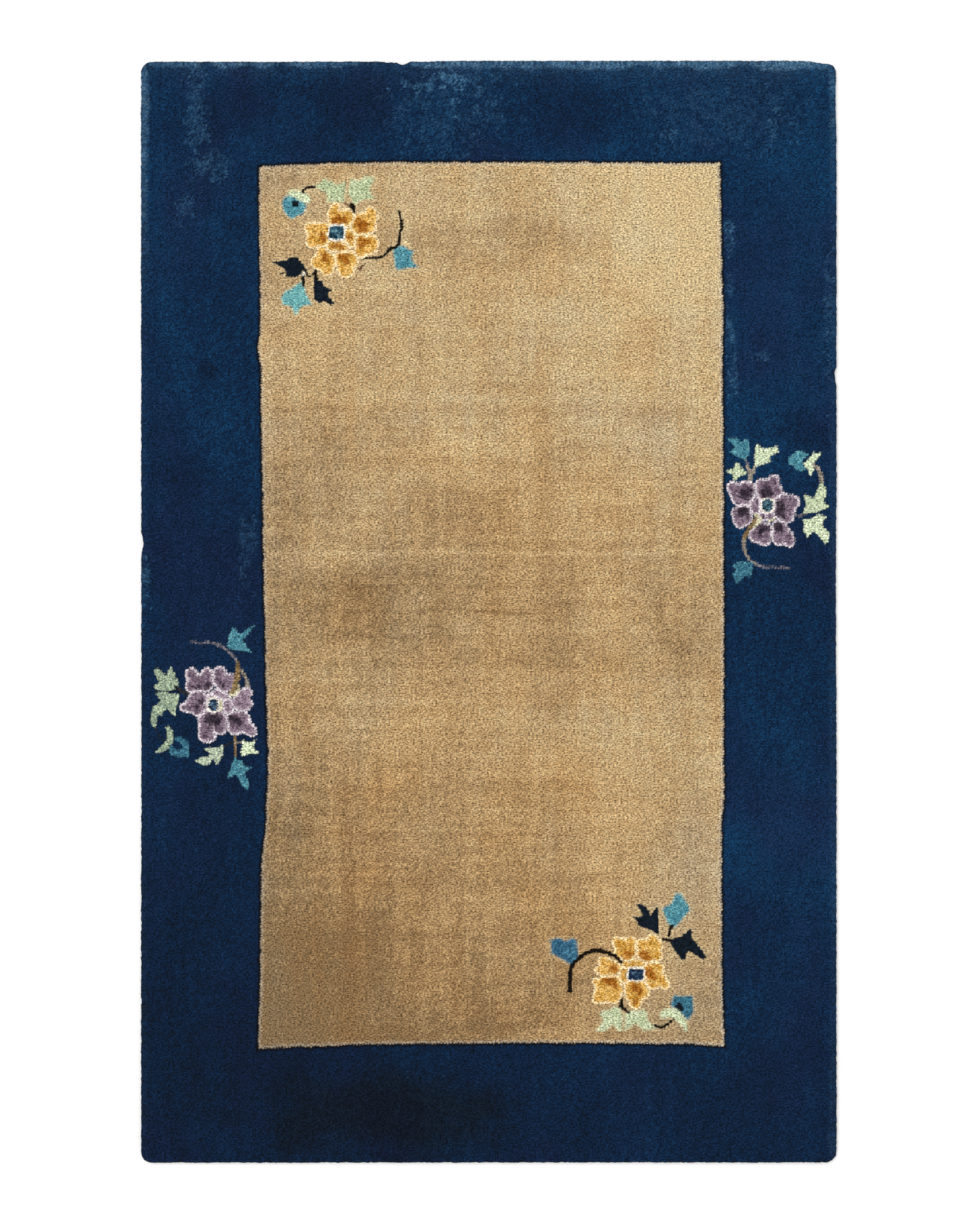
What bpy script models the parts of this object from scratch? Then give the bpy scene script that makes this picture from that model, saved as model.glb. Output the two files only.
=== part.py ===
"""A small hand-knotted wool rug, lying flat with its pile up.

The rug is one piece: a cotton foundation and the clipped wool pile knotted into it. It is modelled as one
closed slab. Its outline has four rounded corners of its own, three worn nicks and a drooping top right corner.
The pile rolls over at the rim, and a narrow carved line parts the navy border from the camel field.

Frame: metres, +Z up, the top of the design towards +Y, the origin at the middle of the flat underside.
"""

import math

import bmesh
import bpy
from mathutils import Vector

# Driving dimensions, in metres.
RUG_WIDTH = 0.914
RUG_LENGTH = 1.448
RUG_THICKNESS = 0.011
FOUNDATION_HEIGHT = 0.003

# The carved line between the border and the field.
CARVED_DEPTH = 0.0022
CARVED_OUTER_WIDTH = 0.0024
CARVED_INNER_WIDTH = 0.0014

# How finely the outlines are drawn.
OUTLINE_STEP = 0.045
FINE_STEP = 0.004
CORNER_SEGMENTS = 7
FIELD_STEP = 0.030

# Corner radii, anticlockwise from the bottom left.
CORNER_RADII = {"bottom_left": 0.0145, "bottom_right": 0.0160, "top_right": 0.0105, "top_left": 0.0150}

# Where the rim is worn or pulled in. Each dip is flat over 2 x flat, with an eased shoulder at each end.
# Columns: side, centre along the side, flat, ease, depth.
RIM_DIPS = (
    ("top", -0.112, 0.000, 0.011, 0.0030),
    ("top", -0.121, 0.012, 0.009, 0.0013),
    ("top", -0.270, 0.190, 0.020, 0.0010),
    ("top", 0.475, 0.020, 0.048, 0.0046),
    ("right", 0.000, 0.060, 0.120, 0.0007),
    ("right", 0.310, 0.004, 0.010, 0.0024),
    ("right", 0.690, 0.040, 0.020, 0.0009),
    ("left", 0.091, 0.003, 0.013, 0.0028),
)

# The rim's section, from the underside up to the flat top of the pile.
# Columns: name, inset from the outline, height.
RIM_SECTION = (
    ("underside", 0.0016, 0.0),
    ("foundation", 0.0010, FOUNDATION_HEIGHT),
    ("widest", 0.0, 0.0062),
    ("shoulder", 0.0009, 0.0090),
    ("roll", 0.0026, 0.0105),
    ("top", 0.0052, RUG_THICKNESS),
)

# The field's edge, which wanders a little, as distances along each side and out from the rug's middle.
# Columns: distance along, distance out.
FIELD_LEFT = ((-0.575, 0.3030), (-0.470, 0.3000), (-0.335, 0.2985), (-0.270, 0.2925), (-0.205, 0.2895),
              (-0.045, 0.2935), (0.110, 0.2965), (0.320, 0.2990), (0.349, 0.3030), (0.380, 0.3000),
              (0.585, 0.3015))
FIELD_RIGHT = ((-0.571, 0.3090), (-0.470, 0.3060), (-0.290, 0.3055), (-0.240, 0.3085), (-0.050, 0.3085),
               (0.120, 0.3080), (0.345, 0.3065), (0.372, 0.3080), (0.470, 0.3055), (0.589, 0.3035))
FIELD_TOP = ((-0.301, 0.5840), (-0.260, 0.5870), (-0.190, 0.5890), (-0.110, 0.5900), (0.060, 0.5900),
             (0.304, 0.5890))
FIELD_BOTTOM = ((-0.303, 0.5740), (-0.250, 0.5715), (-0.140, 0.5675), (0.100, 0.5660), (0.250, 0.5670),
                (0.309, 0.5705))


def clear_scene():
    """Remove what the startup file holds."""
    for item in list(bpy.data.objects):
        bpy.data.objects.remove(item, do_unlink=True)


def wool(name, colour, roughness):
    """Return a matt wool material."""
    material = bpy.data.materials.new(name)
    material.use_nodes = True
    shader = material.node_tree.nodes["Principled BSDF"]
    shader.inputs["Base Color"].default_value = (*colour, 1.0)
    shader.inputs["Roughness"].default_value = roughness
    shader.inputs["Metallic"].default_value = 0.0
    return material


def ease(amount):
    """Return amount, held between 0 and 1, with a soft start and end."""
    amount = min(max(amount, 0.0), 1.0)
    return amount * amount * (3.0 - 2.0 * amount)


def rim_dip(side, along):
    """Return how far the rim is pulled in at a distance along one side."""
    depth = 0.0
    for dip_side, centre, flat, shoulder, dip_depth in RIM_DIPS:
        if dip_side == side:
            past_flat = abs(along - centre) - flat
            depth += dip_depth * ease(1.0 - past_flat / shoulder)
    return depth


def side_stations(side, start, end):
    """Return the distances along a side at which the outline has a point, from start to end."""
    low, high = min(start, end), max(start, end)
    count = math.ceil((high - low) / OUTLINE_STEP)
    stations = {low + (high - low) * step / count for step in range(count + 1)}
    for dip_side, centre, flat, shoulder, _ in RIM_DIPS:
        if dip_side != side:
            continue
        for edge in (-1, 1):
            first, last = sorted((centre + edge * flat, centre + edge * (flat + shoulder)))
            steps = math.ceil((last - first) / FINE_STEP)
            stations.update(first + (last - first) * step / steps for step in range(steps + 1))
    kept = []
    for station in sorted(stations):
        if low <= station <= high and (not kept or station - kept[-1] > FINE_STEP / 2):
            kept.append(station)
    return kept if end > start else kept[::-1]


def corner_arc(name, x_sign, y_sign, inset):
    """Return one rounded corner's points, anticlockwise, moved in by the inset."""
    radius = CORNER_RADII[name]
    half_width, half_length = RUG_WIDTH / 2, RUG_LENGTH / 2
    x_side, y_side = ("right" if x_sign > 0 else "left"), ("top" if y_sign > 0 else "bottom")
    x_edge = half_width - rim_dip(x_side, y_sign * (half_length - radius))
    y_edge = half_length - rim_dip(y_side, x_sign * (half_width - radius))
    centre = Vector((x_sign * (x_edge - radius), y_sign * (y_edge - radius)))
    start = {(-1, -1): 180, (1, -1): 270, (1, 1): 0, (-1, 1): 90}[(x_sign, y_sign)]
    points = []
    for step in range(CORNER_SEGMENTS + 1):
        angle = math.radians(start + 90 * step / CORNER_SEGMENTS)
        points.append(centre + (radius - inset) * Vector((math.cos(angle), math.sin(angle))))
    return points


def rug_outline(inset):
    """Return the rug's outline moved in by the inset, anticlockwise from the bottom left corner."""
    half_width, half_length = RUG_WIDTH / 2, RUG_LENGTH / 2
    clear = {name: radius + FINE_STEP for name, radius in CORNER_RADII.items()}
    x_low, x_high = -half_width + inset, half_width - inset
    y_low, y_high = -half_length + inset, half_length - inset
    points = corner_arc("bottom_left", -1, -1, inset)
    for along in side_stations("bottom", -half_width + clear["bottom_left"], half_width - clear["bottom_right"]):
        points.append(Vector((along, y_low + rim_dip("bottom", along))))
    points += corner_arc("bottom_right", 1, -1, inset)
    for along in side_stations("right", -half_length + clear["bottom_right"], half_length - clear["top_right"]):
        points.append(Vector((x_high - rim_dip("right", along), along)))
    points += corner_arc("top_right", 1, 1, inset)
    for along in side_stations("top", half_width - clear["top_right"], -half_width + clear["top_left"]):
        points.append(Vector((along, y_high - rim_dip("top", along))))
    points += corner_arc("top_left", -1, 1, inset)
    for along in side_stations("left", half_length - clear["top_left"], -half_length + clear["bottom_left"]):
        points.append(Vector((x_low + rim_dip("left", along), along)))
    return points


def wander(table, along):
    """Return the distance out at a distance along a side, eased between the table's rows."""
    for (low, out_low), (high, out_high) in zip(table, table[1:]):
        if along <= high:
            return out_low + (out_high - out_low) * ease((along - low) / (high - low))
    return table[-1][1]


def field_outline():
    """Return the field's outline, anticlockwise from its bottom left corner."""
    sides = (
        (FIELD_BOTTOM, 1, lambda along, out: Vector((along, -out))),
        (FIELD_RIGHT, 1, lambda along, out: Vector((out, along))),
        (FIELD_TOP, -1, lambda along, out: Vector((along, out))),
        (FIELD_LEFT, -1, lambda along, out: Vector((-out, along))),
    )
    points = []
    for table, direction, place in sides:
        low, high = table[0][0], table[-1][0]
        count = math.ceil((high - low) / FIELD_STEP)
        for step in range(count):
            share = step / count if direction > 0 else 1.0 - step / count
            along = low + (high - low) * share
            points.append(place(along, wander(table, along)))
    return points


def moved_in(points, distance):
    """Return a closed, anticlockwise outline moved in along its normals, or out if distance is negative."""
    moved = []
    count = len(points)
    for index, point in enumerate(points):
        before = (point - points[index - 1]).normalized()
        after = (points[(index + 1) % count] - point).normalized()
        inward_before, inward_after = Vector((-before.y, before.x)), Vector((-after.y, after.x))
        middle = (inward_before + inward_after).normalized()
        moved.append(point + middle * (distance / middle.dot(inward_before)))
    return moved


def ring(mesh, outline, height):
    """Add a closed ring of vertices and return them."""
    return [mesh.verts.new((point.x, point.y, height)) for point in outline]


def bridge(mesh, lower, upper, material_index):
    """Join two rings of equal count with quads."""
    count = len(lower)
    for index in range(count):
        after = (index + 1) % count
        face = mesh.faces.new((lower[index], lower[after], upper[after], upper[index]))
        face.material_index = material_index


def ring_edges(mesh, vertices):
    """Return the edges along a closed ring, made where they are missing."""
    edges = []
    for vertex, after in zip(vertices, vertices[1:] + vertices[:1]):
        edges.append(mesh.edges.get((vertex, after)) or mesh.edges.new((vertex, after)))
    return edges


def build_rug():
    """Build the rug's one solid and return its object."""
    navy_index, camel_index = 0, 1
    mesh = bmesh.new()
    rings = [ring(mesh, rug_outline(inset), height) for _, inset, height in RIM_SECTION]
    for lower, upper in zip(rings, rings[1:]):
        bridge(mesh, lower, upper, navy_index)
    underside = mesh.faces.new(rings[0][::-1])
    underside.material_index = navy_index

    field = field_outline()
    outer_lip = ring(mesh, moved_in(field, -CARVED_OUTER_WIDTH), RUG_THICKNESS)
    carved_floor = ring(mesh, field, RUG_THICKNESS - CARVED_DEPTH)
    inner_lip = ring(mesh, moved_in(field, CARVED_INNER_WIDTH), RUG_THICKNESS)
    bridge(mesh, outer_lip, carved_floor, navy_index)
    bridge(mesh, carved_floor, inner_lip, camel_index)
    field_face = mesh.faces.new(inner_lip)
    field_face.material_index = camel_index

    border_edges = ring_edges(mesh, rings[-1]) + ring_edges(mesh, outer_lip)
    border = bmesh.ops.triangle_fill(mesh, use_beauty=True, edges=border_edges)
    for item in border["geom"]:
        if isinstance(item, bmesh.types.BMFace):
            item.material_index = navy_index
            if item.normal.z < 0:
                item.normal_flip()
    bmesh.ops.recalc_face_normals(mesh, faces=mesh.faces)

    data = bpy.data.meshes.new("rug")
    mesh.to_mesh(data)
    mesh.free()
    data.materials.append(wool("navy_wool", (0.008, 0.027, 0.068), 0.95))
    data.materials.append(wool("camel_wool", (0.430, 0.292, 0.140), 0.95))
    rug = bpy.data.objects.new("rug", data)
    bpy.context.scene.collection.objects.link(rug)
    return rug


def main():
    """Build the whole part."""
    clear_scene()
    build_rug()


main()
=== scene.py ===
"""The looks of a small hand-knotted Chinese wool rug, lying flat with its pile up and seen from above.

The rug is one piece. Its pile is laid out here knot by knot on a grid that follows the real rug: the rim
with its nicks and its drooping corner, and the field's edge, which wanders. The pile is built in four strips
and in four finer panels where the flower sprays are knotted, with a rolled rim all round and the woven back
below. Sizes are in metres unless a name or a note says mm. +Y is the top of the design and +Z is up.
"""

import logging
import math
from collections.abc import Callable
from dataclasses import dataclass, field
from enum import Enum

import bpy
import numpy as np
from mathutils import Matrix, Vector


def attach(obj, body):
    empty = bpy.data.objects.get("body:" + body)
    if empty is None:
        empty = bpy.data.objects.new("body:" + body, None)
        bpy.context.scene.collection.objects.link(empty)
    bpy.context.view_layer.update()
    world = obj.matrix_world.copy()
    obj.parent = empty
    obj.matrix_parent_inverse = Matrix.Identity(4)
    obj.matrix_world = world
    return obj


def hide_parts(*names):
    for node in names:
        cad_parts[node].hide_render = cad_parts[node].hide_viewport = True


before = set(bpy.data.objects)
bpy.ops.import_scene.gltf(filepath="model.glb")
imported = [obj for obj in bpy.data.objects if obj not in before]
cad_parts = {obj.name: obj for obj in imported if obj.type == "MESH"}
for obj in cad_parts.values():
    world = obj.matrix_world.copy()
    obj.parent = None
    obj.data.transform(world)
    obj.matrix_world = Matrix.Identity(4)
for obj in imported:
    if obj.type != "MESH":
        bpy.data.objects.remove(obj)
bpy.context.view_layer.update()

log = logging.getLogger("rug")

MM = 0.001

# The rug's sizes, as the CAD has them.
RUG_WIDTH = 0.914
RUG_LENGTH = 1.448
RUG_THICKNESS = 0.011
FOUNDATION_HEIGHT = 0.003
CARVED_DEPTH = 0.0022
CORNER_RADII = {"bottom_left": 0.0145, "bottom_right": 0.0160, "top_right": 0.0105, "top_left": 0.0150}

# Where the rim is worn or pulled in, with an eased shoulder at each end of its flat.
# Columns: side, centre along the side, flat half-width, ease, depth.
RIM_DIPS = (
    ("top", -0.112, 0.000, 0.011, 0.0030),
    ("top", -0.121, 0.012, 0.009, 0.0013),
    ("top", -0.270, 0.190, 0.020, 0.0010),
    ("top", 0.475, 0.020, 0.048, 0.0046),
    ("right", 0.000, 0.060, 0.120, 0.0007),
    ("right", 0.310, 0.004, 0.010, 0.0024),
    ("right", 0.690, 0.040, 0.020, 0.0009),
    ("left", 0.091, 0.003, 0.013, 0.0028),
)

# The rim's section, from the flat top of the pile down to the underside. Columns: inset, height.
RIM_SECTION = (
    (0.0052, RUG_THICKNESS),
    (0.0038, 0.0109),
    (0.0026, 0.0105),
    (0.0016, 0.0099),
    (0.0009, 0.0090),
    (0.0003, 0.0078),
    (0.0000, 0.0062),
    (0.0005, 0.0045),
    (0.0010, FOUNDATION_HEIGHT),
    (0.0014, 0.0012),
    (0.0016, 0.0000),
)
PILE_INSET = RIM_SECTION[0][0]

# The field's edge, as the CAD has it. Columns: distance along the side, distance out from the middle.
FIELD_EDGES = {
    "left": ((-0.575, 0.3030), (-0.470, 0.3000), (-0.335, 0.2985), (-0.270, 0.2925), (-0.205, 0.2895),
             (-0.045, 0.2935), (0.110, 0.2965), (0.320, 0.2990), (0.349, 0.3030), (0.380, 0.3000),
             (0.585, 0.3015)),
    "right": ((-0.571, 0.3090), (-0.470, 0.3060), (-0.290, 0.3055), (-0.240, 0.3085), (-0.050, 0.3085),
              (0.120, 0.3080), (0.345, 0.3065), (0.372, 0.3080), (0.470, 0.3055), (0.589, 0.3035)),
    "top": ((-0.301, 0.5840), (-0.260, 0.5870), (-0.190, 0.5890), (-0.110, 0.5900), (0.060, 0.5900),
            (0.304, 0.5890)),
    "bottom": ((-0.303, 0.5740), (-0.250, 0.5715), (-0.140, 0.5675), (0.100, 0.5660), (0.250, 0.5670),
               (0.309, 0.5705)),
}


# ---------------------------------------------------------------------------------------------------------
# Small helpers
# ---------------------------------------------------------------------------------------------------------

def linear(hex_colour: str) -> tuple[float, float, float]:
    """Turn an sRGB colour into the linear one that a shader takes.

    Args:
        hex_colour: The colour as "#rrggbb".

    Returns:
        Red, green and blue, each from 0 to 1.
    """
    channels = []
    for start in (1, 3, 5):
        value = int(hex_colour[start:start + 2], 16) / 255
        channels.append(value / 12.92 if value <= 0.04045 else ((value + 0.055) / 1.055) ** 2.4)
    return tuple(channels)


def ease(amount: np.ndarray) -> np.ndarray:
    """Hold values between 0 and 1, with a soft start and end."""
    amount = np.clip(amount, 0.0, 1.0)
    return amount * amount * (3.0 - 2.0 * amount)


def eased_table(table: tuple, along: np.ndarray) -> np.ndarray:
    """Read a table of places and values, eased between its rows.

    Args:
        table: Rows of (place, value), in rising order of place.
        along: The places to read it at.

    Returns:
        The value at each place, held at the first and last rows.
    """
    places = np.array([row[0] for row in table])
    values = np.array([row[1] for row in table])
    row = np.clip(np.searchsorted(places, along) - 1, 0, len(places) - 2)
    share = ease((along - places[row]) / (places[row + 1] - places[row]))
    return values[row] + (values[row + 1] - values[row]) * share


def patches(x: np.ndarray, y: np.ndarray, across: float, along: float, seed: int) -> np.ndarray:
    """Return soft random patches, from about -1 to 1.

    Args:
        x: The points' distances across.
        y: The points' distances along.
        across: A patch's size across, in the points' own unit.
        along: A patch's size along.
        seed: Which patches; the same seed gives the same ones.

    Returns:
        One value for each point.
    """
    lattice_size = 512
    lattice = np.random.default_rng(seed).uniform(-1.0, 1.0, (lattice_size, lattice_size))
    column, row = x / across + lattice_size / 2, y / along + lattice_size / 2
    left, low = np.floor(column).astype(int), np.floor(row).astype(int)
    share_x, share_y = ease(column - left), ease(row - low)
    left, low = left % lattice_size, low % lattice_size
    right, high = (left + 1) % lattice_size, (low + 1) % lattice_size
    bottom = lattice[left, low] * (1 - share_x) + lattice[right, low] * share_x
    top = lattice[left, high] * (1 - share_x) + lattice[right, high] * share_x
    return bottom * (1 - share_y) + top * share_y


def clouds(x: np.ndarray, y: np.ndarray, across: float, along: float, seed: int) -> np.ndarray:
    """Return soft random clouds, from about -1 to 1: patches of three sizes, each turned its own way.

    Args:
        x: The points' distances across.
        y: The points' distances along.
        across: A large cloud's size across, in the points' own unit.
        along: Its size along.
        seed: Which clouds; the same seed gives the same ones.

    Returns:
        One value for each point.
    """
    total = np.zeros_like(x)
    for size, turn, share in ((1.0, 0.5, 0.70), (0.5, 1.3, 0.40), (0.25, 2.2, 0.25)):
        right, up = math.cos(turn), math.sin(turn)
        turned_x, turned_y = x / across * right - y / along * up, x / across * up + y / along * right
        total += share * patches(turned_x, turned_y, size, size, seed + round(100 * turn))
    return total


@dataclass(frozen=True)
class Unevenness:
    """One layer of soft random unevenness.

    Attributes:
        kind: The function that draws it, patches or clouds.
        across: Its size across.
        along: Its size along.
        strength: How far it goes at most, as an amount of a yarn's shade or as a share.
        seed: Which patches or clouds it has.
    """

    kind: Callable
    across: float
    along: float
    strength: float
    seed: int

    def at(self, x: np.ndarray, y: np.ndarray) -> np.ndarray:
        """Return its value at each point."""
        return self.strength * self.kind(x, y, self.across, self.along, self.seed)


def summed(layers: tuple[Unevenness, ...], x: np.ndarray, y: np.ndarray) -> np.ndarray:
    """Return the sum of some layers of unevenness at each point."""
    return sum(layer.at(x, y) for layer in layers)


def oval(x: np.ndarray, y: np.ndarray, place: tuple, ragged: np.ndarray, reach: float = 1.5) -> np.ndarray:
    """Return how far each point is within a soft, ragged oval, from 0 outside it to 1 near its middle.

    Args:
        x: The points' distances across.
        y: The points' distances along.
        place: The oval's middle across and along, and its half-width and half-length.
        ragged: How far its edge strays at each point, as a share of its size.
        reach: Where it ends, as a share of its half-width and half-length.

    Returns:
        One value for each point.
    """
    across, along, half_width, half_length = place
    return ease(reach + ragged - np.hypot((x - across) / half_width, (y - along) / half_length))


# ---------------------------------------------------------------------------------------------------------
# Yarns
# ---------------------------------------------------------------------------------------------------------

@dataclass(frozen=True)
class Yarn:
    """A dyed wool yarn. Vat dyes take unevenly, so each has a lighter and a darker shade of its own.

    Attributes:
        middle: The yarn's usual sRGB colour.
        light: Its lightest shade.
        dark: Its darkest shade.
    """

    middle: str
    light: str
    dark: str

    def shade(self, amount: np.ndarray | float) -> np.ndarray:
        """Return the yarn's linear colour at each amount, from -1, darkest, to 1, lightest."""
        middle, light, dark = (np.array(linear(tone)) for tone in (self.middle, self.light, self.dark))
        amount = np.clip(np.asarray(amount, dtype=float), -1.0, 1.0)[..., None]
        return middle + np.maximum(amount, 0) * (light - middle) + np.maximum(-amount, 0) * (dark - middle)


class Dye(Enum):
    """The rug's yarns, and the colour of the painted shade in the carved groove."""

    NAVY = Yarn("#0a2441", "#103d61", "#0a1626")
    PURPLE_NAVY = Yarn("#121b38", "#1a2546", "#0d122a")
    RUBBED_NAVY = Yarn("#30587a", "#487391", "#1d4160")
    # Painted shade: the dark that falls in the carved groove between the field and the border.
    GROOVE_PAINTED_SHADE = Yarn("#05080f", "#0b1019", "#030508")
    WORN_BLUE = Yarn("#3f6483", "#5b7d95", "#2b4c6b")
    CAMEL = Yarn("#b5966b", "#cfb78a", "#846a49")
    WARM_CAMEL = Yarn("#ba9361", "#d4b17d", "#8a6741")
    GREY_CAMEL = Yarn("#b09a7a", "#cbbb9a", "#7f6d54")
    PALE_CAMEL = Yarn("#d3c096", "#e6d6b0", "#bfa77c")
    FELTED_CAMEL = Yarn("#d1c6b3", "#e4dccb", "#b0a491")
    GOLD = Yarn("#cf9c43", "#ebc074", "#ad7522")
    TAN_GOLD = Yarn("#c79743", "#e0b56a", "#a87028")
    AMBER = Yarn("#a05f18", "#bf7e33", "#7e450c")
    CREAM = Yarn("#f7dca9", "#fff0cc", "#e6c48c")
    WHITE = Yarn("#f3ebda", "#ffffff", "#d8cbb0")
    MAUVE = Yarn("#715e6d", "#9c8796", "#4a3c4a")
    PALE_MAUVE = Yarn("#867280", "#ad98a6", "#5d4d5c")
    PLUM = Yarn("#322934", "#4f424e", "#1e1720")
    PINK_WHITE = Yarn("#e0d4da", "#faf4f6", "#b9a9b3")
    LEMON_WHITE = Yarn("#d9d2b2", "#ece6cb", "#bdb391")
    PALE_TURQUOISE = Yarn("#70afae", "#95ccc6", "#4f8e94")
    TURQUOISE = Yarn("#528f9c", "#7ab6b9", "#346c80")
    DEEP_TURQUOISE = Yarn("#4a8494", "#72adb4", "#2c5f73")
    TEAL = Yarn("#3c7085", "#5c96a3", "#265366")
    BLUE = Yarn("#356480", "#5b8fa2", "#224862")
    PALE_GREEN = Yarn("#bbc69b", "#d3dcb4", "#9fad86")
    CAP_GREEN = Yarn("#c3cda4", "#dbe2c0", "#a5b188")
    PALE_CAP = Yarn("#d2dcb5", "#e8efce", "#b1bc94")
    LIME = Yarn("#d3dfbb", "#edf4da", "#b2c09d")
    PALE_SAGE = Yarn("#c5d1ac", "#e2eacc", "#a3b192")
    SAGE = Yarn("#b8c4aa", "#d8e1c7", "#889888")
    GREY_SAGE = Yarn("#9faf92", "#c6d5b6", "#72847a")
    INK = Yarn("#0f1923", "#1b2833", "#080e17")
    SOOT = Yarn("#120e08", "#241c14", "#080603")
    UMBER = Yarn("#6b4a34", "#8a644a", "#4b3324")
    STEM_TAN = Yarn("#998f82", "#bcb1a2", "#6a6157")
    STEM_GOLD = Yarn("#836c4a", "#ad9263", "#57452c")
    STEM_PINK = Yarn("#77747b", "#9a9799", "#504e57")
    STEM_GREY = Yarn("#2b2b2c", "#474038", "#191d22")
    EYE_BLUE = Yarn("#2b5163", "#6b929c", "#10242f")
    EYE_NAVY = Yarn("#1d334d", "#5e7b90", "#0a1629")
    EYE_TEAL = Yarn("#2a4b5b", "#6b8f9c", "#0f222d")


# ---------------------------------------------------------------------------------------------------------
# The knots in plan
# ---------------------------------------------------------------------------------------------------------

@dataclass
class KnotGrid:
    """Where the knots lie, on a fine grid of points whose columns and rows follow the real rug.

    Points are counted from the bottom left. Arrays have one row for each step across and one column for each
    step along.

    Attributes:
        across: Knots across the rug, at 6.5 to the inch, which is usual for a scatter rug of this make.
        along: Knots along the rug.
        steps: Fine grid steps to a knot, each way.
        field_columns: The knot columns at which the field starts and ends.
        field_rows: The knot rows at which the field starts and ends.
        rim_reach: How far into the rug a dip of the rim pulls the knots.
        wobble: How far a knot strays from its column and row.
        calm_rim: How near the rim the knots begin to keep to their columns and rows.
    """

    across: int = 230
    along: int = 366
    steps: int = 4
    field_columns: tuple[int, int] = (39, 193)
    field_rows: tuple[int, int] = (38, 333)
    rim_reach: float = 0.060
    wobble: float = 0.0006
    calm_rim: float = 0.004
    x: np.ndarray = field(init=False)
    y: np.ndarray = field(init=False)
    knot_x: np.ndarray = field(init=False)
    knot_y: np.ndarray = field(init=False)
    out_of_field: np.ndarray = field(init=False)
    beside_field: np.ndarray = field(init=False)
    outward: np.ndarray = field(init=False)

    def __post_init__(self) -> None:
        """Lay the grid out."""
        half_width, half_length = RUG_WIDTH / 2 - PILE_INSET, RUG_LENGTH / 2 - PILE_INSET
        column = np.linspace(-half_width, half_width, self.across * self.steps + 1)
        row = np.linspace(-half_length, half_length, self.along * self.steps + 1)
        level_x, level_y = np.meshgrid(column, row, indexing="ij")
        edges = [column[knot * self.steps] for knot in self.field_columns]
        edges += [row[knot * self.steps] for knot in self.field_rows]
        out_x = np.maximum(edges[0] - level_x, level_x - edges[1])
        out_y = np.maximum(edges[2] - level_y, level_y - edges[3])
        self.out_of_field, self.beside_field = np.maximum(out_x, out_y), out_x > out_y
        round_x, round_y = self.round_corners(level_x, level_y)
        straight_x, straight_y = self.follow(round_x, round_y, edges)
        inner = ease((half_width - np.abs(level_x)) / self.calm_rim)
        inner *= ease((half_length - np.abs(level_y)) / self.calm_rim)
        self.x = straight_x + self.wobble * inner * self.wander(level_x, level_y, 11)
        self.y = straight_y + self.wobble * inner * self.wander(level_x, level_y, 13)
        self.knot_x, self.knot_y = self.knot_centres(straight_x), self.knot_centres(straight_y)

    @staticmethod
    def wander(x: np.ndarray, y: np.ndarray, seed: int) -> np.ndarray:
        """Return how far the knots stray, from about -1.6 to 1.6: a slow drift and a quick one."""
        slow, quick, quick_share = 0.0065, 0.0022, 0.6
        return patches(x, y, slow, slow, seed) + quick_share * patches(x, y, quick, quick, seed + 1)

    def round_corners(self, level_x: np.ndarray, level_y: np.ndarray) -> tuple[np.ndarray, np.ndarray]:
        """Draw the four square corners of the grid in to their arcs.

        Args:
            level_x: The even grid's distances across.
            level_y: The even grid's distances along.

        Returns:
            The rounded grid's distances across and along.
        """
        x, y = level_x.copy(), level_y.copy()
        self.outward = np.zeros((*x.shape, 2))
        self.outward[0, :, 0], self.outward[-1, :, 0] = -1.0, 1.0
        self.outward[:, 0, 1], self.outward[:, -1, 1] = -1.0, 1.0
        for name, radius in CORNER_RADII.items():
            x_sign = 1 if "right" in name else -1
            y_sign = 1 if "top" in name else -1
            centre_x, centre_y = RUG_WIDTH / 2 - radius, RUG_LENGTH / 2 - radius
            over_x, over_y = level_x * x_sign - centre_x, level_y * y_sign - centre_y
            inside = (over_x > 0) & (over_y > 0)
            far = np.hypot(over_x[inside], over_y[inside])
            pull = np.maximum(over_x[inside], over_y[inside]) / far
            x[inside] = x_sign * (centre_x + over_x[inside] * pull)
            y[inside] = y_sign * (centre_y + over_y[inside] * pull)
            self.outward[inside, 0] = x_sign * over_x[inside] / far
            self.outward[inside, 1] = y_sign * over_y[inside] / far
        return x, y

    def follow(self, x: np.ndarray, y: np.ndarray, edges: list[float]) -> tuple[np.ndarray, np.ndarray]:
        """Move the grid so that its rim and its field's edge are where the real rug has them.

        Args:
            x: The rounded grid's distances across.
            y: The rounded grid's distances along.
            edges: The even grid's left, right, bottom and top edge of the field.

        Returns:
            The moved distances across and along.
        """
        left, right, bottom, top = edges
        half_width, half_length = RUG_WIDTH / 2, RUG_LENGTH / 2
        to_left, to_right = (eased_table(FIELD_EDGES[side], y) for side in ("left", "right"))
        to_bottom, to_top = (eased_table(FIELD_EDGES[side], x) for side in ("bottom", "top"))
        moved_x = x.copy()
        moved_x += self.tent(x, -half_width, left, 0.0) * (-to_left - left)
        moved_x += self.tent(x, 0.0, right, half_width) * (to_right - right)
        moved_x += self.rim_dip("left", y) * ease(1 - (x + half_width) / self.rim_reach)
        moved_x -= self.rim_dip("right", y) * ease(1 - (half_width - x) / self.rim_reach)
        moved_y = y.copy()
        moved_y += self.tent(y, -half_length, bottom, 0.0) * (-to_bottom - bottom)
        moved_y += self.tent(y, 0.0, top, half_length) * (to_top - top)
        moved_y += self.rim_dip("bottom", x) * ease(1 - (y + half_length) / self.rim_reach)
        moved_y -= self.rim_dip("top", x) * ease(1 - (half_length - y) / self.rim_reach)
        return moved_x, moved_y

    @staticmethod
    def tent(place: np.ndarray, start: float, peak: float, end: float) -> np.ndarray:
        """Rise from 0 at the start to 1 at the peak, and fall to 0 at the end."""
        return np.clip(np.minimum((place - start) / (peak - start), (end - place) / (end - peak)), 0, 1)

    @staticmethod
    def rim_dip(side: str, along: np.ndarray) -> np.ndarray:
        """Return how far the rim is pulled in along one side."""
        depth = np.zeros_like(along)
        for dip_side, centre, flat, shoulder, dip_depth in RIM_DIPS:
            if dip_side == side:
                depth += dip_depth * ease(1 - (np.abs(along - centre) - flat) / shoulder)
        return depth

    def knot_centres(self, values: np.ndarray) -> np.ndarray:
        """Give each point the value that is at the middle of its own knot."""
        half = self.steps // 2
        column, row = (np.minimum(np.arange(size) // self.steps * self.steps + half, size - 1)
                       for size in values.shape)
        return values[np.ix_(column, row)]

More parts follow.
